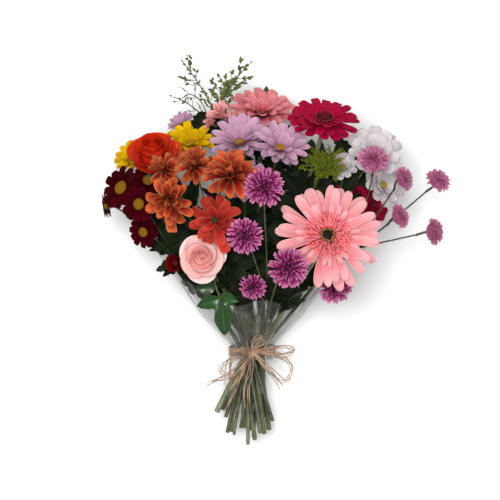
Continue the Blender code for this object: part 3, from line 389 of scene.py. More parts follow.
def raffia_strip(name, points, is_loop, draw):
    """One strip of a loop or a tail as a flat curve; its length is measured along its route."""
    own_way = strayed(draw, RAFFIA_SPREAD)
    room = min(1.0, max(np.linalg.norm(point) for point in points) / 30)
    strays = [(own_way + strayed(draw, RAFFIA_STRAY)) * room for _ in points]
    passed = [BOW_MIDDLE + strayed(draw, KNOT_STRAY)]
    for point, stray in zip(points, strays):
        passed.append(BOW_MIDDLE + np.array(point) * draw.uniform(0.86, 1.0) + stray)
    if is_loop:
        passed.append(BOW_MIDDLE + strayed(draw, KNOT_STRAY))
    route = smooth_route(passed, 6 if is_loop else 8)
    curve = bpy.data.curves.new(name, "CURVE")
    curve.dimensions = "3D"
    spline = curve.splines.new("POLY")
    spline.points.add(len(route) - 1)
    twist = draw.uniform(-2, 2)
    for k, (point, place) in enumerate(zip(spline.points, route)):
        point.co = (*at(*place), 1)
        point.tilt = twist * math.sin(k * 0.35 + twist)
    width = draw.uniform(*RAFFIA_WIDTHS)
    curve.bevel_mode = "ROUND"
    curve.bevel_depth = RAFFIA_THICK / 2 * MM
    curve.extrude = (width - RAFFIA_THICK) / 2 * MM
    curve.bevel_resolution = 1
    curve.use_fill_caps = True
    curve.materials.append(raffia_finish.made)
    strip = bpy.data.objects.new(name, curve)
    scene.collection.objects.link(strip)
    show(strip, "raffia_bow")
    length = np.linalg.norm(np.diff(route, axis=0), axis=1).sum() * MM
    at(*route[0])
    width * MM


raffia_draw = random.Random(11)
for part, points in (LOOPS | TAILS).items():
    for number in range(RAFFIA_STRIPS):
        raffia_strip(f"{part}_{number}", points, part in LOOPS, raffia_draw)

binding = Growth()
for turn_number in range(BINDING_TURNS):
    lean = raffia_draw.uniform(-1.4, 1.4)
    level = BINDING_HALF * (2 * turn_number / (BINDING_TURNS - 1) - 1) * raffia_draw.uniform(0.5, 1)
    round_it = np.linspace(0, math.tau, 49)
    reach = WRAP_RADIUS - 1.0 - raffia_draw.uniform(0.0, 1.2)
    reach = reach + 0.35 * np.sin(3 * round_it + turn_number)
    wrap = np.stack([
        reach * np.sin(round_it),
        level * (0.75 - 0.45 * np.cos(round_it)) + lean * np.sin(round_it + turn_number),
        TIE_HEIGHT + reach * np.cos(round_it)], axis=1)
    binding.rounded(tube(wrap, raffia_draw.uniform(0.5, 0.9), flat=0.6), along=(0, math.tau))
for _ in range(KNOT_WADS):
    start = np.array((raffia_draw.uniform(-4, 4), raffia_draw.uniform(-5, 5), 0))
    wad_route = smooth_route([
        start + (0, 0, KNOT_TOP - 6.5), (start[0] * 0.4, start[1] * 0.8, KNOT_TOP + 1.2),
        (-start[0] * 0.7, -start[1] * 0.4, KNOT_TOP + 2.4),
        (-start[0] * 1.2, -start[1], KNOT_TOP - 4.5)], 6)
    binding.rounded(tube(wad_route, raffia_draw.uniform(1.2, 1.9), flat=0.5))
show(binding.mesh("raffia_wraps", [raffia_finish]), "raffia_binding")

# ---------------------------------------------------------------- stems
# The cut stems of the plants: smooth green rods, some of them forked, that cross in a spiral
# where they are bound. Each keeps the solid's own form, rounded off, with fine streaks along it.

STEM_DARK = (0.015, 0.019, 0.004, 1)
STEM_LIGHT = (0.12, 0.135, 0.034, 1)
STEM_CUT = (0.11, 0.12, 0.032, 1)
CUT_AT = -55  # how far below the binding the stems begin to turn pale towards their cut ends
ROUNDING = 0.0008  # metres: grid that the rods are rounded off on


def rounded_copy(node, name, finish, grid=ROUNDING, passes=8, bare=()):
    """The node's solid again, with its edges and corners rounded off, and nothing left of it
    within the balls in bare, where finer pieces stand instead."""
    obj = bpy.data.objects.new(name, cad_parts[node].data.copy())
    scene.collection.objects.link(obj)
    remesh = obj.modifiers.new("round", "REMESH")
    remesh.mode = "VOXEL"
    remesh.voxel_size = grid
    remesh.use_smooth_shade = True
    soften = obj.modifiers.new("soften", "SMOOTH")
    soften.factor = 0.5
    soften.iterations = passes
    bpy.context.view_layer.update()
    graph = bpy.context.evaluated_depsgraph_get()
    mesh = bpy.data.meshes.new_from_object(obj.evaluated_get(graph))
    obj.modifiers.clear()
    obj.data = mesh
    if bare:
        form = bmesh.new()
        form.from_mesh(mesh)
        inside = [vert for vert in form.verts
                  if any((vert.co - middle).length < reach for middle, reach in bare)]
        bmesh.ops.delete(form, geom=inside, context="VERTS")
        form.to_mesh(mesh)
        form.free()
    mesh.materials.clear()
    mesh.materials.append(finish.made)
    return obj


def stem_finish(name, dark, light):
    """Stem skin: long streaks of a dark and a light green, with a patchy cut end."""
    finish = Finish(name, Roughness=0.42)
    place = finish.place()
    streaks = place.stretched(1, 0.06, 1).grain(900, 3)
    patches = place.grain(60, 2)
    level = Tint.of(finish.tree, "ShaderNodeSeparateXYZ", {0: place}, output=1)
    old = (streaks * 0.7 + patches * 0.6 - 0.25).between(0.15, 0.75)
    fresh = ((TIE_Y + CUT_AT) * MM - level).between(0.0, 0.03) * patches
    finish.feed("Base Color", fresh.blend(old.blend(dark, light), STEM_CUT))
    finish.relief(streaks, 0.0004)
    return finish


STEM_FINISHES = {
    "green": stem_finish("stem_green", STEM_DARK, STEM_LIGHT),
    "pale": stem_finish("stem_pale", (0.06, 0.078, 0.026, 1), (0.25, 0.28, 0.14, 1)),
    "dark": stem_finish("stem_dark", (0.010, 0.014, 0.006, 1), (0.075, 0.085, 0.035, 1)),
}
STEMS = {
    "gerbera_pink_stem": "pale", "gerbera_crimson_stem": "pale", "gerbera_coral_stem": "pale",
    "rose_pink_stem": "green", "rose_orange_stem": "dark", "lilac_stem": "green",
    "bronze_stem": "green", "burgundy_stem": "dark", "crimson_stem": "green",
    "santini_stem": "green", "white_stem": "green", "yellow_stem": "dark",
}
for node, kind in STEMS.items():
    show(rounded_copy(node, node + "_rod", STEM_FINISHES[kind]), node)

# ---------------------------------------------------------------- pink gerbera
# The largest bloom: two whorls of long ribbed petals and one of short narrow ones, paler at
# their ends, round a fringe of coral florets, a tan ring and a black eye. It sits in a green
# cup of bracts on a thick stem.

GERBERA_PETALS = ((18, 1.0, 2), (18, 0.95, 7), (24, 0.62, 12))  # how many, reach, rise
GERBERA_WIDTHS = (0.19, 0.17, 0.085)  # of each whorl, as a share of the radius
FLORET_RINGS = 9
STAMENS = 60
RIB_DEPTH, GRAIN_DEPTH = 0.00035, 0.0006  # metres
HEART_OF_BUNCH = (10, 110, 62)  # in millimetres, as at() takes them: the heads face away from it


def petal(foot, length, width, bend, turn=0.0, lift=0.0, cup=0.0, peak=0.6, base=0.35,
          blunt=2.0, wave=0.0, twist=0.0, lean=0.0, notch=0.0, rows=9, columns=5, phase=0.0):
    """A petal as a grid of points in millimetres, on a head that faces +Z.

    It starts foot from the axis and lift above the hub, and bend gives its slope in degrees at
    its foot, middle and end. Half way to its end it is widest, at peak. cup raises its rims,
    wave ruffles them, and notch cuts its end in teeth.
    """
    along = np.sin(np.linspace(0, math.pi / 2, rows + 1))
    across = np.linspace(-1, 1, columns)
    slope = np.radians(np.interp(along, (0, 0.5, 1), bend))
    step = np.diff(along, prepend=0) * length
    reach = foot + np.cumsum(np.cos(slope) * step)
    height = lift + np.cumsum(np.sin(slope) * step)
    rising = base + (1 - base) * np.sin(np.clip(along / peak, 0, 1) * math.pi / 2)
    past = np.clip((along - peak) / (1 - peak), 0, 1)
    half = 0.5 * width * rising * (1 - past ** blunt) ** (1 / blunt)
    half = np.maximum(half, 0.02 * width)
    spread = np.outer(half, across)
    raised = cup * np.outer(half, across ** 2)
    raised += wave * np.outer(half, np.abs(across)) * np.sin(
        9 * along[:, None] + 2.5 * across[None, :] + phase)
    turned = twist * along[:, None] + np.zeros_like(spread)
    side = spread * np.cos(turned) - raised * np.sin(turned) + lean * length * along[:, None] ** 2
    off = spread * np.sin(turned) + raised * np.cos(turned)
    teeth = notch * length * (along[:, None] ** 6) * np.cos(2.5 * math.pi * across[None, :]) ** 2
    radial = reach[:, None] - off * np.sin(slope)[:, None] - teeth
    up = height[:, None] + off * np.cos(slope)[:, None]
    places = np.stack([radial * math.cos(turn) - side * math.sin(turn),
                       radial * math.sin(turn) + side * math.cos(turn), up], axis=-1)
    return places, along, across


def whorl(growth, count, draw, finish=0, start=0.0, jitter=0.12, tone=(0.0, 1.0), sway=0.04,
          ease=4, **shape):
    """A ring of petals, each a little unlike the next: jitter sets how unevenly they stand,
    ease how much their slopes differ, in degrees, and sway how far they bend to a side."""
    for k in range(count):
        own = dict(shape)
        own["length"] *= draw.uniform(0.93, 1.03)
        own["width"] *= draw.uniform(0.9, 1.08)
        shift = draw.uniform(-1, 1) * ease
        own["bend"] = tuple(angle + shift * (0.6 + 0.4 * j) for j, angle in enumerate(own["bend"]))
        own["twist"] = draw.uniform(-0.18, 0.18)
        own["lean"] = draw.uniform(-sway, sway)
        own["phase"] = draw.uniform(0, math.tau)
        own["turn"] = start + math.tau * (k + draw.uniform(-jitter, jitter)) / count
        growth.grid(*petal(**own), draw.uniform(*tone), finish)


def calyx(growth, radius, depth, finish, draw, stalk=1.6):
    """The green cup under a head: a bowl that narrows to the stem, with a ring of bracts."""
    profile = np.array(((1.0, 0.0), (0.95, -0.25), (0.7, -0.6), (0.35, -0.9), (0.2, -1.0)))
    turn = np.linspace(0, math.tau, 18, endpoint=False)
    reach = np.maximum(profile[:, :1] * radius * 0.62, stalk) * (1 + 0.04 * np.cos(9 * turn))
    places = np.stack([reach * np.cos(turn), reach * np.sin(turn),
                       np.broadcast_to(profile[:, 1:] * depth, reach.shape)], axis=-1)
    growth.rounded(places, 0.4, finish)
    whorl(growth, 16, draw, finish, foot=radius * 0.5, length=radius * 0.75, width=radius * 0.26,
          bend=(-40, 10, 30), lift=-0.55 * depth, cup=0.2, peak=0.3, blunt=1.4, rows=5, columns=3)


def corners(obj):
    """The corners of a solid or a piece, in millimetres from the floor under the binding."""
    return (np.array([vert.co[:] for vert in obj.data.vertices]) - np.array(at(0, 0, 0))) / MM


def head_seat(node):
    """A head's lowest point, its axis and its radius. The axis is the direction in which the
    solid is unlike the other two, and points away from the heart of the bunch."""
    places = corners(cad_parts[node])
    middle = places.mean(axis=0)
    values, ways = np.linalg.eigh(np.cov((places - middle).T))
    odd = 0 if values[1] - values[0] > values[2] - values[1] else 2
    axis = ways[:, odd]
    if (middle - HEART_OF_BUNCH).dot(axis) < 0:
        axis = -axis
    heights = (places - middle).dot(axis)
    reach = np.linalg.norm((places - middle) - np.outer(heights, axis), axis=1)
    return middle + axis * heights.min(), axis, reach.max()


def seat_matrix(hub, axis):
    """Brings a head that was made round +Z to its hub and its axis."""
    turn = Vector(axis).normalized().to_track_quat("Z", "Y").to_matrix().to_4x4()
    return Matrix.Translation(at(*hub)) @ turn


def petal_finish(name, foot, middle, end, rim=None, streak_and_groove_shade=0.25, foot_share=0.25, rough=0.5,
                 ribs=5.0, gloss=0.1, edge=0.6):
    """Petal skin: a colour at its foot, middle and end, paler rims, and ribs along its length whose
    valleys are darker, partly as streaks of the petal's own colour and partly as painted shade in
    the grooves.
    """
    finish = Finish(name, Roughness=rough, Specular_IOR_Level=gloss)
    along, across, tone = finish.marks()
    drift = finish.place().grain(160, 2)
    ribbing = (across * (ribs * math.pi) + drift * 2.0).sine()
    way = (along + (drift - 0.5) * 0.25).clipped()
    beyond = way.between(foot_share, 1.0).blend(middle, end)
    colour = way.between(0.0, foot_share).blend(foot, beyond)
    if rim:
        colour = (across.size() ** 3.0 * edge).blend(colour, rim)
    # Painted shade: the colour follows the ribs' relief, darker in their valleys and lighter on
    # their crests. Tone adds a real, random difference between petals.
    shade = ribbing * (0.2 * streak_and_groove_shade) + tone * streak_and_groove_shade + (0.88 - 0.6 * streak_and_groove_shade)
    finish.feed("Base Color", colour.scaled(shade))
    finish.relief(ribbing * 0.5 + drift, RIB_DEPTH)
    return finish


calyx_finish = Finish("calyx", Roughness=0.55)
calyx_shade = calyx_finish.place().grain(300, 2)
calyx_finish.feed("Base Color", calyx_shade.between(0.3, 0.75).blend(
    tinted(34, 48, 20), tinted(98, 116, 58)))


def grainy_finish(name, dark, light, scale=900):
    """Skin of small buds and florets: matt, with a fine grain of dark and light."""
    finish = Finish(name, Roughness=0.75, Specular_IOR_Level=0.2)
    grain = finish.place().grain(scale, 3)
    tone = finish.mark("tone")
    finish.feed("Base Color", (grain.between(0.3, 0.7) * 0.7 + tone * 0.3).blend(dark, light))
    finish.relief(grain, GRAIN_DEPTH)
    return finish


pink_petal = petal_finish("pink_petal", tinted(220, 84, 96), tinted(242, 140, 148),
                          tinted(248, 182, 184), rim=tinted(250, 184, 186), streak_and_groove_shade=0.3,
                          foot_share=0.45, ribs=4, rough=0.6)
coral_floret = petal_finish("coral_floret", tinted(190, 40, 54), tinted(240, 88, 98),
                            tinted(254, 146, 150), streak_and_groove_shade=0.4, ribs=1, rough=0.6)
eye_black = grainy_finish("gerbera_eye", tinted(6, 5, 6), tinted(40, 26, 20))
ring_tan = grainy_finish("gerbera_ring", tinted(120, 70, 40), tinted(216, 170, 110))

lowest, axis, radius = head_seat("gerbera_pink")
pink_hub = lowest + axis * 0.2 * radius
draw = random.Random(1)
gerbera = Growth()
for ring, (count, reach, rise) in enumerate(GERBERA_PETALS):
    whorl(gerbera, count, draw, start=ring * 0.13, foot=0.16 * radius,
          length=(reach - 0.16) * radius, width=GERBERA_WIDTHS[ring] * radius, jitter=0.5,
          bend=(rise + 4, rise, rise - 10), lift=ring * 1.3 - 1.0, cup=0.3, peak=0.78,
          base=0.35, blunt=2.1, notch=0.04, rows=10, columns=7, ease=8, sway=0.12,
          tone=(0.1 + 0.2 * ring, 0.6 + 0.2 * ring))
calyx(gerbera, 0.34 * radius, 0.2 * radius, 1, draw, stalk=2.2)
show(gerbera.mesh("gerbera_pink_bloom", [pink_petal, calyx_finish], seat_matrix(pink_hub, axis)),
     "gerbera_pink")

disc = Growth()
for ring in range(FLORET_RINGS):
    share = ring / (FLORET_RINGS - 1)
    whorl(disc, 32 - ring, draw, start=ring * 0.37, foot=(0.31 - 0.18 * share) * radius,
          length=(0.16 - 0.07 * share) * radius, width=0.04 * radius,
          bend=(26 + 30 * share, 16 + 34 * share, -8 + 30 * share),
          lift=(0.085 + 0.03 * share) * radius, cup=0.5, peak=0.7, rows=5, columns=3,
          jitter=0.35, ease=12, sway=0.2, tone=(0.0, 1.0))
disc.rounded(sphere((0, 0, 0.09 * radius), 0.085 * radius, tall=0.45, sides=20), 0.3, 1)
for k in range(STAMENS):
    turn = math.tau * k / STAMENS
    foot = np.array((math.cos(turn), math.sin(turn), 0)) * radius * draw.uniform(0.09, 0.135)
    stamen = foot + np.array((0, 0, 0.13 * radius))
    disc.rounded(sphere(stamen, 0.65, tall=2.0, rings=4, sides=5), draw.uniform(0, 1), 2)
show(disc.mesh("gerbera_pink_eye", [coral_floret, eye_black, ring_tan],
               seat_matrix(pink_hub, axis)), "gerbera_pink_disc")

# ---------------------------------------------------------------- crimson gerbera
# A deep red gerbera that leans back over the top: three whorls of broad petals with squared
# ends, and a low dark disc ringed with tiny pale flecks, on a cup of bracts.

CRIMSON_PETALS = ((16, 1.0, 2), (15, 0.93, 9), (13, 0.6, 16))  # how many, reach, rise
CRIMSON_FLECKS = 17

crimson_gerbera_petal = petal_finish(
    "dark_crimson_petal", tinted(84, 0, 16), tinted(148, 2, 40), tinted(166, 8, 56),
    rim=tinted(172, 16, 64), streak_and_groove_shade=0.3, gloss=0.04, ribs=4, rough=0.55)
crimson_disc = grainy_finish("crimson_disc", tinted(44, 0, 9), tinted(118, 4, 30))
fleck_pale = grainy_finish("pale_flecks", tinted(150, 30, 50), tinted(190, 100, 100))

lowest, axis, radius = head_seat("gerbera_crimson")
draw = random.Random(2)
dark_gerbera = Growth()
for ring, (count, reach, rise) in enumerate(CRIMSON_PETALS):
    whorl(dark_gerbera, count, draw, start=ring * 0.15, foot=0.16 * radius,
          length=(reach - 0.16) * radius, width=0.27 * radius, bend=(rise + 6, rise, rise - 8),
          lift=ring * 1.2 - 0.5, cup=0.2, peak=0.75, base=0.4, blunt=3.4, notch=0.04,
          rows=9, columns=7, tone=(0.2, 1.0))
for ring in range(4):
    whorl(dark_gerbera, 22 - 2 * ring, draw, finish=1, start=ring * 0.1,
          foot=(0.27 - 0.06 * ring) * radius, length=0.09 * radius, width=0.05 * radius,
          bend=(40, 50, 40), lift=(0.05 + 0.02 * ring) * radius, rows=4, columns=3)
dark_gerbera.rounded(sphere((0, 0, 0.04 * radius), 0.2 * radius, tall=0.4, rings=6, sides=16),
                     0.3, 1)
for k in range(CRIMSON_FLECKS):
    turn = math.tau * k / CRIMSON_FLECKS
    spot = np.array((math.cos(turn), math.sin(turn), 0)) * 0.27 * radius * draw.uniform(0.94, 1.04)
    dark_gerbera.rounded(sphere(spot + (0, 0, 0.16 * radius), 0.6, tall=1.6, rings=3, sides=4),
                         0.5, 2)
calyx(dark_gerbera, 0.34 * radius, 0.3 * radius, 3, draw, stalk=2.2)
show(dark_gerbera.mesh("gerbera_crimson_bloom",
                       [crimson_gerbera_petal, crimson_disc, fleck_pale, calyx_finish],
                       seat_matrix(lowest + axis * 0.3 * radius, axis)),
     "gerbera_crimson")

# ---------------------------------------------------------------- coral gerbera
# A double bloom at the top: four loose whorls of broad salmon petals that curl down at their
# ends and hide the disc, on a cup of bracts.

CORAL_WHORLS = ((13, 1.0, 14), (12, 0.92, 28), (10, 0.72, 42), (7, 0.46, 58))

coral_petal = petal_finish("coral_petal", tinted(160, 40, 60), tinted(206, 86, 104),
                           tinted(232, 140, 142), rim=tinted(234, 150, 150), streak_and_groove_shade=0.3, ribs=4,
                           rough=0.6)

lowest, axis, radius = head_seat("gerbera_coral")
draw = random.Random(3)
coral = Growth()
for ring, (count, reach, rise) in enumerate(CORAL_WHORLS):
    whorl(coral, count, draw, start=ring * 0.2, foot=0.12 * radius, length=(reach - 0.1) * radius,
          width=(0.3 - 0.03 * ring) * radius, bend=(rise + 12, rise + 4, rise - 26),
          lift=ring * 1.5, cup=0.3, peak=0.66, base=0.4, blunt=2.6, wave=0.12, rows=9, columns=7,
          ease=7, tone=(0.1, 1.0))
calyx(coral, 0.32 * radius, 0.3 * radius, 1, draw, stalk=2.2)
show(coral.mesh("gerbera_coral_bloom", [coral_petal, calyx_finish],
                seat_matrix(lowest + axis * 0.3 * radius, axis)), "gerbera_coral")

# ---------------------------------------------------------------- daisies
# Spray chrysanthemums in five colours: two or three whorls of petals round a raised disc of
# tiny florets. Those of one plant share their colours and differ in age and tilt.

# plant: slot, colours (foot, middle, end, rim), disc colours, disc radius, whorls, petal width,
# cup; each whorl has its count, reach and rise. Sizes are shares of the head's radius.
DAISIES = {
    "lilac": dict(
        slot="lilac_petal", ribs=4, streak_and_groove_shade=0.22,
        colours=((136, 84, 112), (184, 132, 160), (206, 160, 186), (218, 180, 202)),
        disc=((96, 62, 12), (204, 150, 30)), disc_radius=0.14, width=0.28, cup=0.3, blunt=2.3,
        whorls=((13, 1.0, 20), (12, 0.96, 31), (6, 0.62, 46)), calyx=0.3),
    "burgundy": dict(
        slot="burgundy_petal", ribs=3, streak_and_groove_shade=0.5,
        colours=((30, 0, 4), (52, 0, 7), (64, 1, 11), (72, 3, 15)), gloss=0.02,
        disc=((84, 52, 2), (168, 122, 14)), disc_radius=0.29, width=0.38, cup=0.12, blunt=3.4,
        whorls=((12, 1.0, 1), (11, 0.93, 9)), calyx=0.3),
    "yellow": dict(
        slot="yellow_petal", ribs=3, streak_and_groove_shade=0.34,
        colours=((150, 96, 0), (206, 156, 0), (220, 176, 4), (226, 188, 20)), gloss=0.04,
        disc=((120, 80, 4), (196, 150, 20)), disc_radius=0.18, width=0.34, cup=0.3, blunt=2.6,
        whorls=((12, 1.0, 16), (11, 0.94, 29), (7, 0.62, 44)), calyx=0.3),
    "white": dict(
        slot="white_petal", ribs=4, streak_and_groove_shade=0.18,
        colours=((130, 130, 96), (196, 188, 190), (214, 206, 208), (222, 215, 217)),
        disc=((120, 96, 20), (190, 166, 60)), disc_radius=0.16, width=0.46, cup=0.35, blunt=2.9,
        whorls=((10, 1.0, 10), (9, 0.93, 22), (6, 0.68, 40)), calyx=0.3),
    "crimson": dict(
        slot="crimson_petal", ribs=3, streak_and_groove_shade=0.45,
        colours=((60, 0, 12), (126, 0, 34), (150, 8, 50), (160, 16, 58)), gloss=0.05,
        disc=((50, 10, 10), (110, 40, 24)), disc_radius=0.17, width=0.38, cup=0.2, blunt=3.0,
        whorls=((13, 1.0, 2), (12, 0.92, 12), (8, 0.62, 28)), calyx=0.3),
}
DISC_FLORETS = 60
GOLDEN_ANGLE = 2.39996  # radians from one floret of a disc to the next
DAISY_NODES = {"lilac": 4, "burgundy": 6, "yellow": 2, "white": 3, "crimson": 3}

for plant, kind in DAISIES.items():
    foot, middle, end, rim = (tinted(*colour) for colour in kind["colours"])
    skin = petal_finish(plant + "_petal", foot, middle, end, rim=rim, streak_and_groove_shade=kind["streak_and_groove_shade"],
                        ribs=kind["ribs"], rough=0.65, gloss=kind.get("gloss", 0.12))
    dark, light = (tinted(*colour) for colour in kind["disc"])
    disc_skin = grainy_finish(plant + "_disc", dark, light, scale=1500)
    for number in range(1, DAISY_NODES[plant] + 1):
        node = f"{plant}_{number}"
        lowest, axis, radius = head_seat(node)
        draw = random.Random(node)
        head = Growth()
        for ring, (count, reach, rise) in enumerate(kind["whorls"]):
            whorl(head, count, draw, start=ring * 0.21, foot=0.12 * radius,
                  length=(reach - 0.12) * radius, width=kind["width"] * radius,
                  bend=(rise + 14, rise + 4, rise - 14), lift=ring * 0.05 * radius,
                  cup=kind["cup"], peak=0.66, base=0.5, blunt=kind["blunt"], wave=0.06,
                  rows=8, columns=5, ease=5, tone=(0.0, 1.0))
        disc_radius = kind["disc_radius"] * radius
        disc_middle = np.array((0, 0, 0.1 * radius))
        head.rounded(sphere(disc_middle, disc_radius, tall=0.5, sides=18), 0.5, 1)
        for k in range(DISC_FLORETS):
            polar = math.acos(1 - 0.9 * (k + 0.5) / DISC_FLORETS)
            turn = k * GOLDEN_ANGLE
            way = np.array((math.sin(polar) * math.cos(turn), math.sin(polar) * math.sin(turn),
                            0.5 * math.cos(polar)))
            floret = sphere(way * disc_radius + disc_middle, 0.095 * disc_radius, tall=1.6,
                            rings=3, sides=5)
            head.rounded(floret, draw.uniform(0, 1), 1)
        calyx(head, 0.36 * radius, kind["calyx"] * radius, 2, draw)
        show(head.mesh(node + "_bloom", [skin, disc_skin, calyx_finish],
                       seat_matrix(lowest + axis * kind["calyx"] * radius, axis)),
             node)

# ---------------------------------------------------------------- bronze chrysanthemums
# Full blooms of broad spoon petals, dark red inside and orange at their ends and backs. The
# inner ones stand up and curl over; the outer ones hang out.

# each whorl's count, reach, rise and how its ends curl; sizes are shares of the radius
BRONZE_FULL = ((8, 1.02, 4, -34), (8, 1.0, 24, -20), (8, 0.92, 42, -4), (7, 0.76, 58, 22),
               (5, 0.52, 72, 46))
BRONZE_OPEN = ((8, 1.02, 2, -12), (8, 0.94, 14, -8), (5, 0.66, 36, 0))
# which way a loose petal hangs
BRONZE_HANGING = {"bronze_2": (0.35, -1.0), "bronze_3": (0.0, -1.0)}

bronze_skin = petal_finish("bronze_petal", tinted(66, 0, 3), tinted(150, 30, 18),
                           tinted(212, 98, 48), rim=tinted(222, 132, 84), streak_and_groove_shade=0.5, edge=0.7,
                           foot_share=0.62, ribs=4, rough=0.6, gloss=0.12)
salmon_skin = petal_finish("salmon_petal", tinted(96, 0, 6), tinted(164, 24, 26),
                           tinted(190, 56, 42), rim=tinted(220, 104, 78), streak_and_groove_shade=0.5, edge=0.6,
                           foot_share=0.3, ribs=4, rough=0.6)
bronze_disc = grainy_finish("bronze_disc", tinted(22, 24, 6), tinted(70, 66, 18))
for number in range(1, 6):
    node = f"bronze_{number}"
    lowest, axis, radius = head_seat(node)
    seat = seat_matrix(lowest + axis * 0.35 * radius, axis)
    draw = random.Random(node)
    head = Growth()
    is_open = node == "bronze_2"
    for ring, (count, reach, rise, tip) in enumerate(BRONZE_OPEN if is_open else BRONZE_FULL):
        whorl(head, count, draw, start=ring * 0.3, foot=0.08 * radius,
              length=(reach + 0.04) * radius, width=(0.4 - 0.03 * ring) * radius,
              bend=(rise + 22, rise + 12, rise + tip), lift=ring * 0.05 * radius,
              cup=0.6, peak=0.7, base=0.3, blunt=2.2, wave=0.14, rows=9, columns=7, ease=14,
              sway=0.25, jitter=0.34, tone=(0.0, 1.0))
    if node in BRONZE_HANGING:
        way = seat.inverted().to_3x3() @ Vector((*BRONZE_HANGING[node], 0.0))
        loose = petal(
            foot=0.4 * radius, length=1.0 * radius, width=0.46 * radius, bend=(10, -8, -30),
            turn=math.atan2(way.y, way.x), lift=0.1 * radius, cup=0.4, peak=0.75, base=0.3,
            blunt=2.6, columns=7)
        head.grid(*loose, 0.9)
    if is_open:
        head.rounded(sphere((0, 0, 0.16 * radius), 0.15 * radius, tall=0.7, sides=16), 0.5, 2)
    calyx(head, 0.36 * radius, 0.35 * radius, 1, draw)
    show(head.mesh(node + "_bloom",
                   [salmon_skin if is_open else bronze_skin, calyx_finish, bronze_disc], seat),
         node)

# ---------------------------------------------------------------- button chrysanthemums
# Purple buttons: some hundred and forty quilled petals in seven close whorls, long and flat
# outside, short, dark and upright in the middle, over a small green cup.

BUTTON_WHORLS = ((28, 1.0, -6), (27, 0.97, 4), (25, 0.87, 15), (22, 0.74, 28), (18, 0.58, 43),
                 (13, 0.4, 60), (8, 0.26, 76))  # how many, reach, rise

quill_skin = petal_finish("purple_petal", tinted(78, 2, 48), tinted(150, 36, 102),
                          tinted(224, 140, 186), streak_and_groove_shade=0.5, foot_share=0.55, ribs=1,
                          rough=0.6)
side_quill_skin = petal_finish("mauve_petal", tinted(120, 48, 84), tinted(186, 100, 142),
                               tinted(208, 134, 168), streak_and_groove_shade=0.4, foot_share=0.4, ribs=1,
                               rough=0.6)


def button(growth, radius, draw, tall=1.0, wide=1.0):
    """A flat dome of quills, whorl in whorl, round a core as dark as their feet."""
    last = len(BUTTON_WHORLS) - 1
    for ring, (count, reach, rise) in enumerate(BUTTON_WHORLS):
        share = ring / last
        whorl(growth, count, draw, start=ring * 0.41, foot=(0.34 - 0.3 * share) * radius,
              length=(reach - 0.34 + 0.3 * share) * radius * (0.96 + 0.1 * share),
              width=(0.13 - 0.04 * share) * wide * radius, bend=(rise + 16, rise + 4, rise + 6),
              lift=(0.04 + 0.2 * share) * tall * radius, cup=0.8, peak=0.75, base=0.5, blunt=2.2,
              rows=6, columns=4, jitter=0.5, ease=14, sway=0.3,
              tone=(0.4 - 0.4 * share, 1.0 - 0.6 * share))
    growth.rounded(sphere((0, 0, 0), radius * 0.5, tall=0.5 * tall, sides=16), 0.0, along=(0, 0))


for number in range(1, 6):
    node = f"santini_front_{number}"
    lowest, axis, radius = head_seat(node)
    draw = random.Random(node)
    head = Growth()
    button(head, radius, draw)
    calyx(head, 0.42 * radius, 0.4 * radius, 1, draw)
    show(head.mesh(node + "_bloom", [quill_skin, calyx_finish],
                   seat_matrix(lowest + axis * 0.5 * radius, axis)), node)

# ---------------------------------------------------------------- purple side spray
# A branched spray of smaller mauve buttons that leans far out to the right. Its five buttons
# stand well apart, each on a bare thin stalk.

SIDE_BUTTONS = {  # place, radius, facing
    "side_1": ((119, 190, 160), 15, (0.1, 0.6, 0.78)),
    "side_2": ((149, 172, 138), 11.8, (0.8, 0.25, 0.5)),
    "side_3": ((145, 135, 130), 12, (0.8, 0.3, 0.5)),
    "side_4": ((184, 170, 126), 12.5, (0.45, 0.6, 0.65)),
    "side_5": ((179, 120, 122), 13, (0.9, 0.05, 0.45)),
}

spray_rods = rounded_copy("santini_side_spray", "side_spray_rods", STEM_FINISHES["dark"], bare=[
    (at(*place), size * 1.1 * MM) for place, size, _ in SIDE_BUTTONS.values()])
show(spray_rods, "santini_side_spray")
rod_places = corners(spray_rods)
stalks = Growth()
for name, (place, size, way) in SIDE_BUTTONS.items():
    draw = random.Random(name)
    head = Growth()
    button(head, size * 1.12, draw, tall=1.5, wide=1.5)
    head.rounded(sphere((0, 0, 0.06 * size), 0.74 * size, tall=0.62, sides=18), 0.3)
    head.rounded(sphere((0, 0, -0.1 * size), 0.36 * size, tall=0.7, rings=6), 0.4, 1)
    way = np.array(way) / np.linalg.norm(way)
    show(head.mesh(name + "_bloom", [side_quill_skin, calyx_finish], seat_matrix(place, way)),
         "santini_side_spray")
    end = rod_places[np.argmin(np.linalg.norm(rod_places - place, axis=1))]
    end = rod_places[np.linalg.norm(rod_places - end, axis=1) < 2.5].mean(axis=0)
    path = smooth_route([end + (end - place) * 0.1, end, place - way * 0.6 * size, place], 5)
    stalks.rounded(tube(path, 1.3, sides=8), 0.4)
show(stalks.mesh("side_spray_stalks", [STEM_FINISHES["dark"]]), "santini_side_spray")

# ---------------------------------------------------------------- roses
# Half-open garden roses. Broad cupped petals wrap each other in a spiral, tight and upright in
# the middle, wide outside with lips that roll outwards, over five green sepals and a hip.

ROSE_ROWS, ROSE_COLUMNS = 15, 15  # points along and across a petal
ROSE_WHORLS = (  # petals, rim, lip, height (shares of the radius), half the angle each wraps
    (2, 0.07, 0.0, 1.2, 2.6), (2, 0.14, 0.02, 1.3, 2.0), (2, 0.22, 0.05, 1.32, 1.8),
    (3, 0.33, 0.1, 1.27, 1.3), (3, 0.48, 0.22, 1.16, 1.15), (3, 0.58, 0.42, 1.0, 1.2),
    (3, 0.62, 0.5, 0.8, 1.0),
)


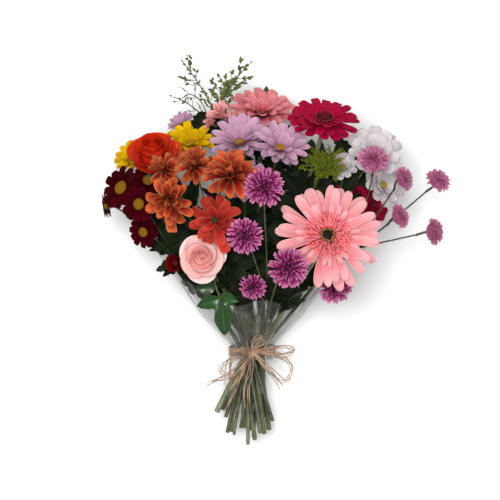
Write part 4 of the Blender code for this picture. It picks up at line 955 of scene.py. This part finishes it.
def rose_petal(angle, wrap, rim, lip, height, radius, draw):
    """One cupped petal round a rose's axis; its lip rolls out and down."""
    along = np.linspace(0, 1, ROSE_ROWS)
    across = np.linspace(-1, 1, ROSE_COLUMNS)
    up, side = along[:, None], across[None, :]
    full = np.sin(np.clip(up / 0.6, 0, 1) * math.pi / 2)
    start = 0.8 - 0.9 * lip
    roll = np.clip((up - start) / (1 - start), 0, 1) * math.pi / 2
    reach = 0.05 + (rim - 0.05) * full * (1 + 0.14 * side)
    reach = reach + lip * np.sin(roll) * (1 - 0.55 * side ** 2)
    reach = reach * (1 + 0.025 * np.sin(3 * side + draw.uniform(0, 6)) * up)
    bearing = angle + wrap * side * (0.3 + 0.7 * full)
    tall = height * draw.uniform(0.97, 1.03)
    level = tall * up * (1 - 0.1 * np.abs(side) ** 2.6) - (0.5 * lip) * (1 - np.cos(roll))
    level = level + 0.02 * np.sin(5 * side + draw.uniform(0, 6)) * up
    places = np.stack([reach * np.cos(bearing), reach * np.sin(bearing),
                       level + np.zeros_like(bearing)], axis=-1) * radius
    return places, along, across


def rose(node, name, radius, hub, axis, skin, whorls):
    """A whole bloom on its hub, from the outermost petals to the heart, over its sepals."""
    draw = random.Random(node)
    head = Growth()
    for ring, (count, rim, lip, height, wrap) in enumerate(whorls):
        for k in range(count):
            angle = math.tau * (k + draw.uniform(-0.08, 0.08)) / count + ring * 0.9
            blade = rose_petal(angle, wrap, rim, lip, height, radius, draw)
            head.grid(*blade, 1 - ring / len(whorls) + draw.uniform(-0.1, 0.1))
    heart = sphere((0, 0, 0.46 * radius), 0.5 * radius, rings=10, sides=20)
    head.rounded(heart, 0.8, along=(0.6, 0.6))
    whorl(head, 5, draw, finish=1, foot=0.1 * radius, length=0.85 * radius, width=0.3 * radius,
          bend=(25, 5, -35), lift=-0.02 * radius, peak=0.3, blunt=1.3, cup=0.2)
    head.rounded(sphere((0, 0, -0.02 * radius), 0.26 * radius, tall=0.8, rings=6), 0.4, 1)
    show(head.mesh(name, [skin, calyx_finish], seat_matrix(hub, axis)), node)


def rose_finish(name, heart, outer, rim):
    """Rose skin: deeper in colour towards the middle of the bloom, and darker towards the foot of
    each petal as painted shade where the petals sit inside one another.
    """
    finish = Finish(name, Roughness=0.5, Specular_IOR_Level=0.25)
    along, tone = finish.mark("along"), finish.mark("tone")
    drift = finish.place().grain(220, 2)
    inner = (tone + (drift - 0.5) * 0.3).between(0.0, 0.9)
    colour = (along ** 2.0).blend(inner.blend(outer, heart), inner.blend(rim, heart))
    # Painted shade: each petal is scaled darker towards its foot, deep in the bloom.
    finish.feed("Base Color", colour.scaled(along * 0.3 + 0.74))
    finish.relief(drift, 0.0001)
    return finish


pale_rose = rose_finish("rose_pink_petal", tinted(240, 172, 166), tinted(240, 204, 200),
                        tinted(250, 226, 222))
orange_rose = rose_finish("rose_orange_petal", tinted(190, 34, 10), tinted(176, 22, 8),
                          tinted(218, 62, 16))
red_rose = rose_finish("red_rose_petal", tinted(90, 2, 6), tinted(112, 4, 8),
                       tinted(140, 10, 14))
for node, skin in (("rose_pink", pale_rose), ("rose_orange", orange_rose)):
    lowest, axis, reach = head_seat(node)
    radius = reach / 1.15
    rose(node, node + "_bloom", radius, lowest + axis * 0.07 * radius, axis, skin,
         ROSE_WHORLS)

bud_place, bud_radius, bud_way = (-74, 89, 118), 10, (-0.4, 0.0, 0.9)
RED_BUD_WHORLS = ((3, 0.2, 0.02, 1.2, 2.0), (3, 0.45, 0.06, 1.2, 1.5), (4, 0.75, 0.14, 1.14, 1.2))
show(rounded_copy("rose_red_stem", "rose_red_rod", STEM_FINISHES["dark"],
                  bare=[(at(*bud_place), bud_radius * 1.5 * MM)]), "rose_red_stem")
rose("rose_red_stem", "rose_red_bud", bud_radius, bud_place, bud_way, red_rose,
     RED_BUD_WHORLS)

# ---------------------------------------------------------------- alstroemeria
# A small cluster of salmon trumpets behind the heads: six streaked petals each, in two threes,
# round six fine threads with thick ends. It stands on one pale stem.

TRUMPETS = (  # place, radius, facing
    ((-31, 238, 116), 17, (-0.3, 0.7, 0.65)),
    ((-41, 229, 113), 11, (-0.7, 0.5, 0.6)),
    ((-23, 233, 114), 11, (0.2, 0.6, 0.8)),
)
TRUMPET_RISES = (46, 62)  # slopes of the outer and the inner three petals

trumpet_skin = petal_finish("alstroemeria_petal", tinted(236, 190, 150), tinted(232, 140, 138),
                            tinted(240, 164, 160), rim=tinted(250, 196, 190), streak_and_groove_shade=0.3, ribs=5)
show(rounded_copy("alstroemeria_stem", "alstroemeria_rod", STEM_FINISHES["pale"],
                  bare=[(at(*TRUMPETS[0][0]), TRUMPETS[0][1] * 0.95 * MM)]),
     "alstroemeria_stem")
for number, (place, size, way) in enumerate(TRUMPETS):
    draw = random.Random(number + 40)
    head = Growth()
    for ring, rise in enumerate(TRUMPET_RISES):
        whorl(head, 3, draw, start=ring * math.pi / 3, foot=0.08 * size, length=1.05 * size,
              width=(0.62 - 0.14 * ring) * size, bend=(rise + 22, rise, rise - 42),
              lift=-0.4 * size, cup=0.4, peak=0.62, base=0.25, blunt=1.9, wave=0.08, rows=10,
              columns=7)
    for k in range(6):
        turn = math.tau * k / 6
        out = np.array((math.cos(turn), math.sin(turn), 0)) * size
        up = np.array((0, 0, size))
        thread = smooth_route([up * -0.3, out * 0.1 + up * 0.2, out * 0.2 + up * 0.5], 3)
        head.rounded(tube(thread, [0.35] * (len(thread) - 1) + [0.9], sides=5), 0.9)
    stalk = tube([(0, 0, -0.75 * size), (0, 0, -0.3 * size)], [1.3, 0.14 * size], sides=8)
    head.rounded(stalk, 0.4, 1)
    show(head.mesh(f"alstroemeria_trumpet_{number}", [trumpet_skin, calyx_finish],
                   seat_matrix(place, way)), "alstroemeria_stem")

# ---------------------------------------------------------------- foliage
# Leafy stems behind and under the heads, and serrated rose leaves in front on the left. Leaves
# are thin, keeled along the rib, toothed at their edges and matt but for a waxy sheen.

GREENERY = {
    "foliage_left": (2.0, [(-20, 55, 22), (-46, 105, 26), (-68, 150, 40)]),
    "foliage_back": (2.0, [(-14, 55, 12), (4, 120, 12), (8, 190, 18), (12, 236, 34)]),
    "foliage_right": (2.0, [(22, 55, 20), (48, 100, 24), (80, 146, 42)]),
    "leaf_collar": (1.9, [(10, 30, 60), (21, 52, 74), (32, 72, 88)]),
}
LEAFY = {  # leaf length and width, how many pairs, and where along the stem they start
    "foliage_left": (40, 14, 4, 0.42),
    "foliage_back": (46, 17, 5, 0.42),
    "foliage_right": (36, 11, 5, 0.38),
}
COLLAR_LEAVES = ((0.5, (-16, 62, 92), 15), (0.6, (54, 52, 90), 14), (0.8, (9, 88, 104), 14))
ROSE_RACHIS = ((-38, 76, 118), (-36, 66, 119.5), (-32, 55, 118), (-30, 48, 115))
ROSE_LEAFLETS = (  # foot, tip, width
    ((-30, 49, 115), (-27, 17, 94), 18),
    ((-32, 54, 118), (-55, 46, 111), 14),
    ((-32, 56, 118), (-13, 51, 124), 13),
    ((-36, 66, 119.5), (-57, 63, 120), 13),
)


def leaf_finish(name, dark, light, vein, rough=0.42, gloss=0.45):
    """Leaf skin: blotches of a dark and a light green, with a pale rib and side veins that slant
    forwards.
    """
    finish = Finish(name, Roughness=rough, Specular_IOR_Level=gloss)
    along, across, tone = finish.marks()
    blotch = finish.place().grain(140, 2)
    side_veins = ((along * 9.0 - across.size() * 2.2) * math.pi).sine().size()
    vein_lines = (1.0 - side_veins).between(0.78, 1.0) * 0.6
    rib = (1.0 - across.size()).between(0.9, 0.97)
    lines = vein_lines.or_more(rib)
    ground = (blotch * 0.6 + tone * 0.6 - 0.1).between(0.1, 0.9).blend(dark, light)
    finish.feed("Base Color", (lines * 0.5).blend(ground, vein))
    finish.relief(blotch * 0.4 - lines, 0.0004)
    return finish


foliage_leaf = leaf_finish("leaf", tinted(12, 22, 8), tinted(40, 62, 26), tinted(70, 92, 50))
rose_leaf = leaf_finish("rose_leaf", tinted(6, 28, 8), tinted(30, 72, 24),
                        tinted(80, 124, 66), rough=0.3)
# Painted shade: a leaf skin far darker than leaves are, for the leaves deep inside the bunch.
painted_shade_leaf = leaf_finish("painted_shade_leaf", tinted(8, 13, 5), tinted(24, 38, 15), tinted(40, 52, 28),
                         rough=0.55, gloss=0.1)


def leaf(foot, tip, width, draw, up=(0, 0, 1), droop=0.12, fold=0.25, teeth=11, depth=0.1,
         wave=0.06, lobes=0.0, rows=22, columns=7):
    """A toothed leaf from its foot to its tip, keeled along the rib and arched along its length."""
    foot, tip, up = (np.asarray(v, dtype=float) for v in (foot, tip, up))
    reach = tip - foot
    long = np.linalg.norm(reach)
    ahead = reach / long
    side = np.cross(ahead, up)
    side /= np.linalg.norm(side)
    up = np.cross(side, ahead)
    along = np.linspace(0, 1, rows + 1)
    across = np.linspace(-1, 1, columns)
    half = 0.5 * width * np.sin(math.pi * np.clip(along, 0, 1) ** 0.8) ** 0.9
    saw = 1 + depth * (np.abs(((along * teeth) % 1.0) - 0.25) - 0.4)
    saw *= 1 + lobes * np.sin(along * 3.5 * math.tau) ** 3
    half = half * saw + 0.25
    arch = long * droop * np.sin(math.pi * along)
    phase = draw.uniform(0, math.tau)
    rise = arch[:, None] + fold * np.abs(np.outer(half, across))
    rise = rise + wave * width * across[None, :] ** 2 * np.sin(11 * along[:, None] + phase)
    forward = -0.12 * np.abs(np.outer(half, across)) * (1 - along[:, None])
    places = (foot + reach * along[:, None, None] + side * np.outer(half, across)[..., None]
              + up * rise[..., None] + ahead * forward[..., None])
    places[..., 2] = np.maximum(places[..., 2], 1.0)
    return places, along, across


def snapped(node, point):
    """The corner of a node's solid that is nearest to a point."""
    places = corners(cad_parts[node])
    return places[np.argmin(np.linalg.norm(places - np.asarray(point), axis=1))]


def part_way(route, share):
    """The point this share of the way along a route, and the direction there."""
    where = min(share * (len(route) - 1), len(route) - 1.001)
    start, end = route[int(where)], route[int(where) + 1]
    ahead = (end - start) / np.linalg.norm(end - start)
    return start + (end - start) * (where % 1.0), ahead


def stalk_route(node, passed):
    """From the cut end of a node's stem, through the binding, to the points past it."""
    places = corners(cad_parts[node])
    cut = places[places[:, 1] < places[:, 1].min() + 1.5].mean(axis=0)
    bound = places[np.abs(places[:, 1]) < 9]
    middle = bound.mean(axis=0) if len(bound) else np.array((0, 0, TIE_HEIGHT))
    return smooth_route([cut, middle, *passed], 8)


def leaves_along(node, route):
    """Opposite leaves on a foliage stem, lying flat and pointing forwards, and one at its tip."""
    length, width, pairs, start = LEAFY[node]
    leaves = []
    for k in range(pairs):
        foot, ahead = part_way(route, start + (0.97 - start) * k / (pairs - 1))
        side = np.cross(ahead, (0, 0, 1))
        side /= np.linalg.norm(side)
        long = length * (1.0 - 0.25 * k / pairs)
        for hand in (-1, 1):
            way = ahead * 0.75 + side * hand * 0.8 + np.array((0, 0, 0.1))
            leaves.append((foot, foot + way / np.linalg.norm(way) * long, width))
    tip, ahead = part_way(route, 0.99)
    leaves.append((tip, tip + ahead * length * 0.8, width))
    return leaves


for node, (thick, passed) in GREENERY.items():
    draw = random.Random(node)
    growth = Growth()
    route = stalk_route(node, passed)
    growth.rounded(tube(route, np.linspace(thick, thick * 0.5, len(route)), sides=8), 0.5, 1)
    upper = smooth_route([route[8], *passed], 8)
    if node in LEAFY:
        leaves = leaves_along(node, upper)
    else:
        leaves = [(snapped(node, part_way(upper, share)[0]), tip, width)
                  for share, tip, width in COLLAR_LEAVES]
    for foot, tip, width in leaves:
        growth.grid(*leaf(foot, tip, width * 1.05, draw), draw.uniform(0, 1))
    show(growth.mesh(node + "_leaves", [foliage_leaf, STEM_FINISHES["dark"]]), node)

rose_spray = Growth()
draw = random.Random(5)
rachis = smooth_route(ROSE_RACHIS, 4)
rose_spray.rounded(tube(rachis, np.linspace(1.1, 0.8, len(rachis)), sides=7), 0.5, 1)
for foot, tip, width in ROSE_LEAFLETS:
    blade = leaf(foot, tip, width, draw, up=(0, -0.2, 1), droop=0.08, fold=0.2, teeth=15,
                 depth=0.16, rows=30, columns=9)
    rose_spray.grid(*blade, draw.uniform(0.3, 1.0))
show(rose_spray.mesh("rose_leaflets", [rose_leaf, STEM_FINISHES["green"]]), "rose_leaves")

# ---------------------------------------------------------------- stem leaves
# Lobed chrysanthemum leaves grow from the stems of the heads and close the bunch underneath. They
# are dull and wavy, with a few deep teeth on each side, and coloured near black as painted shade
# for the inside of the bunch.

STEM_LEAVES = {  # node: how many leaves
    "lilac_stem": 40, "bronze_stem": 44, "burgundy_stem": 40, "crimson_stem": 44,
    "santini_stem": 40, "white_stem": 36, "yellow_stem": 24, "goldenrod": 70, "sprigs": 24,
    "gerbera_crimson_stem": 26, "gerbera_coral_stem": 16,
}
LEAF_REGION = (-6, 140, 122, 92)  # middle and half sizes of the ellipse that tips stay in
LEAF_CEILING = 124
LOBED = dict(teeth=7, depth=0.2, lobes=0.3, wave=0.09, rows=18)
FILL_WIDTH = 0.42  # of a leaf between the back flowers, as a share of its length
FILL_REACH = np.array((0, 22, 4))  # from the foot of such a leaf to its tip
# These leaves, in the painted shade skin, fill the gaps between the back flowers with dark.
FILL_TIPS = {
    "gerbera_crimson_stem": ((38, 206, 84), (50, 196, 84), (60, 214, 86), (66, 200, 88)),
    "goldenrod": ((56, 186, 88), (78, 198, 88), (90, 204, 88), (92, 186, 88), (70, 212, 84)),
    "white_stem": ((84, 216, 86), (100, 208, 88), (104, 190, 88), (96, 172, 86)),
}

for node, count in STEM_LEAVES.items():
    draw = random.Random(node)
    growth = Growth()
    places = corners(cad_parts[node])
    feet = places[(places[:, 1] > 32) & (places[:, 2] < LEAF_CEILING - 10)]
    grown = 0
    while grown < count:
        foot = feet[draw.randrange(len(feet))]
        turn = draw.uniform(0, math.tau)
        long = draw.uniform(24, 42)
        way = np.array((math.cos(turn), 0.35 + math.sin(turn), draw.uniform(-0.3, 0.5)))
        tip = foot + way * long
        off = math.hypot((tip[0] - LEAF_REGION[0]) / LEAF_REGION[2],
                         (tip[1] - LEAF_REGION[1]) / LEAF_REGION[3])
        if off > 1 or not 6 < tip[2] < LEAF_CEILING:
            continue
        grown += 1
        width = long * draw.uniform(0.34, 0.46)
        growth.grid(*leaf(foot, tip, width, draw, **LOBED), draw.uniform(0, 1))
    for tip in FILL_TIPS.get(node, ()):
        foot = feet[np.argmin(np.linalg.norm(feet - (tip - FILL_REACH), axis=1))]
        width = FILL_WIDTH * np.linalg.norm(tip - foot)
        growth.grid(*leaf(foot, tip, width, draw, **LOBED), draw.uniform(0, 1))
    leafage = growth.mesh(node + "_leaves", [painted_shade_leaf])
    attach(leafage, "root")

# ---------------------------------------------------------------- goldenrod
# A plume of fine yellow-green buds between the gerberas, crowded on short twigs that spring
# from the top of one branched stem.

PLUME_TWIGS, PLUME_BUDS = 110, 15

bud_finish = grainy_finish("goldenrod_bud", tinted(48, 62, 8), tinted(136, 148, 34), scale=1200)
show(rounded_copy("goldenrod", "goldenrod_rods", STEM_FINISHES["green"], grid=0.0006, passes=4),
     "goldenrod")
draw = random.Random(21)
plume = Growth()
places = corners(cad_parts["goldenrod"])
top = places[places[:, 1] > places[:, 1].max() - 42]
top = top[top[:, 2] > np.median(top[:, 2]) - 12]
middle = top.mean(axis=0)
for _ in range(PLUME_TWIGS):
    foot = middle + (top[draw.randrange(len(top))] - middle) * draw.uniform(0.2, 0.9)
    way = foot - middle + np.array((draw.gauss(0, 12), draw.gauss(6, 12), draw.uniform(2, 16)))
    way /= np.linalg.norm(way)
    long = draw.uniform(10, 21)
    sag = np.array((draw.uniform(-2, 2), draw.uniform(-2, 2), -1.5))
    path = smooth_route([foot, foot + way * long * 0.5 - sag, foot + way * long], 3)
    plume.rounded(tube(path, 0.35, sides=5), 0.2)
    for k in range(PLUME_BUDS):
        spot = part_way(path, 0.25 + 0.74 * k / (PLUME_BUDS - 1))[0]
        out = np.array([draw.gauss(0, 1) for _ in range(3)])
        out /= np.linalg.norm(out)
        blade = tube([spot, spot + out * 1.3, spot + out * draw.uniform(2.0, 3.4)],
                     [0.25, 0.6, 0.1], sides=4)
        plume.rounded(blade, draw.random())
show(plume.mesh("goldenrod_buds", [bud_finish]), "goldenrod")

# ---------------------------------------------------------------- sprigs
# Wispy twigs over the top of the bunch. Each has short side twigs, and small leaflets stand on
# both sides of them all; those on the left are bare and curled.

SPRIGS = (  # where each starts and bends, side twigs, leaflets, their length
    (((-34, 232, 80), (-39, 244, 86), (-53, 268, 92), (-68, 289, 92)), 9, 60, 4.2),
    (((-34, 232, 80), (-32, 248, 84), (-19, 270, 90), (-3, 288, 90)), 11, 90, 4.6),
    (((-36, 228, 79), (-28, 240, 86), (-30, 256, 92), (-27, 270, 94)), 12, 110, 4.8),
    (((-40, 232, 80), (-50, 238, 82), (-66, 250, 84), (-79, 256, 80)), 5, 16, 2.6),
    (((-44, 236, 82), (-52, 252, 90), (-62, 258, 92), (-70, 254, 92)), 3, 8, 2.2),
)

sprig_leaf = leaf_finish("sprig_leaf", tinted(52, 66, 20), tinted(110, 122, 54),
                         tinted(134, 142, 84), rough=0.6)
show(rounded_copy("sprigs", "sprig_rods", STEM_FINISHES["green"], grid=0.0006, passes=5),
     "sprigs")
draw = random.Random(22)
tufts = Growth()
sprig_low, sprig_high = (np.array(corner) / MM - np.array(at(0, 0, 0)) / MM
                         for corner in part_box("sprigs"))
for points, side_twigs, leaflets, long in SPRIGS:
    main = smooth_route(points, 6)
    twigs = [(main, 0.5)]
    for k in range(side_twigs):
        foot, ahead = part_way(main, draw.uniform(0.2, 0.95))
        side = np.cross(ahead, (0, 0, 1)) * (-1) ** k
        way = ahead + side * draw.uniform(0.5, 1.1) + np.array((0, 0, draw.uniform(-0.3, 0.5)))
        reach = draw.uniform(6, 12)
        bent = foot + way * reach * 0.5 + side * 1.5
        twigs.append((smooth_route([foot, bent, foot + way * reach], 4), 0.3))
    for path, thick in twigs:
        tufts.rounded(tube(path, thick, sides=5), 0.1)
    for k in range(leaflets):
        path = twigs[0][0] if k % 3 == 0 else twigs[draw.randrange(len(twigs))][0]
        foot, ahead = part_way(path, draw.uniform(0.25, 1.0))
        side = np.cross(ahead, (0, 0, 1)) * draw.choice((-1, 1))
        way = ahead + side * draw.uniform(0.3, 1.0) + np.array((0, 0, draw.uniform(-0.4, 0.6)))
        tip = foot + way / np.linalg.norm(way) * long * draw.uniform(0.6, 1.1)
        tip = np.clip(tip, sprig_low - 3, sprig_high + 3)
        blade = leaf(foot, tip, 0.42 * long, draw, droop=0.2, teeth=0, depth=0, wave=0.0,
                     rows=5, columns=3)
        tufts.grid(*blade, draw.random())
show(tufts.mesh("sprig_leaflets", [sprig_leaf]), "sprigs")

# ---------------------------------------------------------------- clear film
# A sheet of thin clear film, wrapped round the stems as a cone and gathered by the raffia. It is
# low in front and high behind, stiff, and creased from the neck outwards.

NECK_HALF = 4.5  # half the length that the raffia gathers, in millimetres as all that follow
FILM_BOTTOM = -9.0
FILM_FLARE, FILM_WIDEN = 1.0, 0.62  # how fast the cone widens near the neck, and beyond
FLARE_END = 30.0
FILM_RISE = 1.25
FLOOR_FROM = 45.0  # from here the film lies on the floor
BELOW_FLOOR = 7.0
FRONT_RIM, BACK_RIM = 50.0, 195.0
RIM_WAVES, RIM_WAVE = 5, 4.0  # how many waves the rim has, and their height
RIGHT_DIP = 32.0
FILM_FOLDS, FILM_PLEATS, FILM_CRINKLES = 9, 23, 57  # round the cone, from broad to fine
FILM_AROUND, FILM_ALONG = 288, 84


def film_section(level):
    """Half the width, and the lowest and highest point, of the film's cross-section."""
    past = max(0.0, abs(level) - NECK_HALF)
    if level < 0:
        out = NECK_RADIUS + 0.35 * past
        return out, TIE_HEIGHT - out, TIE_HEIGHT + out
    share = min(1.0, past / (FLOOR_FROM - NECK_HALF))
    low = (TIE_HEIGHT - NECK_RADIUS) * (1 - share) - BELOW_FLOOR * share
    half = (NECK_RADIUS + FILM_FLARE * min(past, FLARE_END)
            + FILM_WIDEN * max(0.0, past - FLARE_END))
    high = TIE_HEIGHT + NECK_RADIUS + FILM_RISE * min(past, 60)
    return half, low, high


def film_rim(turn):
    """How far from the binding the film ends, on this side of the bunch."""
    back = (0.5 + 0.5 * math.cos(turn)) ** 1.5
    rim = FRONT_RIM + (BACK_RIM - FRONT_RIM) * back + RIM_WAVE * math.sin(RIM_WAVES * turn)
    return rim - RIGHT_DIP * max(0.0, math.sin(turn)) ** 2


def film_pleat(turn, level):
    """From -1 in a pleat's valley to 1 on its crest."""
    return math.sin(FILM_PLEATS * turn + 2.1 * math.sin(3 * turn) + 0.03 * level)


def film_fold(turn, level):
    """How far the film stands in or out of its even form, as a share of its width."""
    past = max(0.0, abs(level) - NECK_HALF) / 100
    broad = 0.5 + 0.5 * math.sin(FILM_FOLDS * turn + 0.02 * level)
    pleat = film_pleat(turn, level) * min(1, 0.5 + past)
    fine = math.sin(FILM_CRINKLES * turn + 3.0 * math.sin(5 * turn) - 0.05 * level)
    return 0.07 * past * broad + 0.011 * pleat + 0.001 * fine


film_places = np.empty((FILM_ALONG + 1, FILM_AROUND, 3))
film_creases = np.empty((FILM_ALONG + 1, FILM_AROUND))
for column in range(FILM_AROUND):
    turn = math.tau * column / FILM_AROUND - math.pi
    rim = film_rim(turn) + 1.2 * noise.noise((6 * math.sin(turn), 6 * math.cos(turn), 3.0))
    for row in range(FILM_ALONG + 1):
        level = FILM_BOTTOM + (rim - FILM_BOTTOM) * row / FILM_ALONG
        half, low, high = film_section(level)
        middle, tall = (low + high) / 2, (high - low) / 2
        fold = film_fold(turn, level) - 0.012
        crumple = noise.noise((9 * math.sin(turn), 9 * math.cos(turn), level * 0.035))
        fold += 0.006 * crumple * min(1.0, max(0.0, level) / 40)
        place = (half * (1 + fold) * math.sin(turn), level,
                 max(0.6, middle - tall * (1 + fold) * math.cos(turn)))
        film_places[row, column] = place
        film_creases[row, column] = 0.5 + 0.5 * film_pleat(turn, level)

film_finish = Finish("film", Roughness=0.2, IOR=1.45, Specular_IOR_Level=0.4)
film_along, film_across, film_tone = film_finish.marks()
film_sheet = Tint.of(film_finish.tree, "ShaderNodeCombineXYZ",
                     {0: film_across * 24.0, 1: film_along * 4.0})
film_streaks = film_sheet.grain(1.0, 2, 0.5)
# Painted highlight: bright streaks are coloured near white and made more opaque. Painted shade:
# other streaks are coloured dark grey and made a little more opaque.
film_painted_highlight = film_streaks.between(0.52, 0.72)
film_painted_fold_shade = film_sheet.stretched(1.4, 1.2, 1).grain(1.0, 1, 0.5).between(0.56, 0.68)
film_gather = 1.0 - film_along.between(0.0, 0.3)
film_finish.feed("Base Color", film_painted_fold_shade.blend(
    film_painted_highlight.blend(tinted(138, 132, 124), tinted(232, 234, 232)), tinted(80, 80, 74)))
film_finish.feed("Alpha", (film_painted_highlight * 0.45 + film_painted_fold_shade * 0.2 + film_tone ** 6.0 * 0.12
                           + film_gather * 0.25 + 0.12).clipped())
film_finish.relief(film_streaks, 0.001)

wrap = Growth()
wrap.rounded(film_places)
film_steps = np.linalg.norm(np.diff(film_places, axis=0, prepend=film_places[:1]), axis=2)
film_reach = np.cumsum(film_steps, axis=0)
wrap.marks[0][:, 0] = (film_reach / film_reach.max()).ravel()
wrap.marks[0][:, 2] = film_creases.ravel()
film = show(wrap.mesh("film_cone", [film_finish]), "film_wrapper")
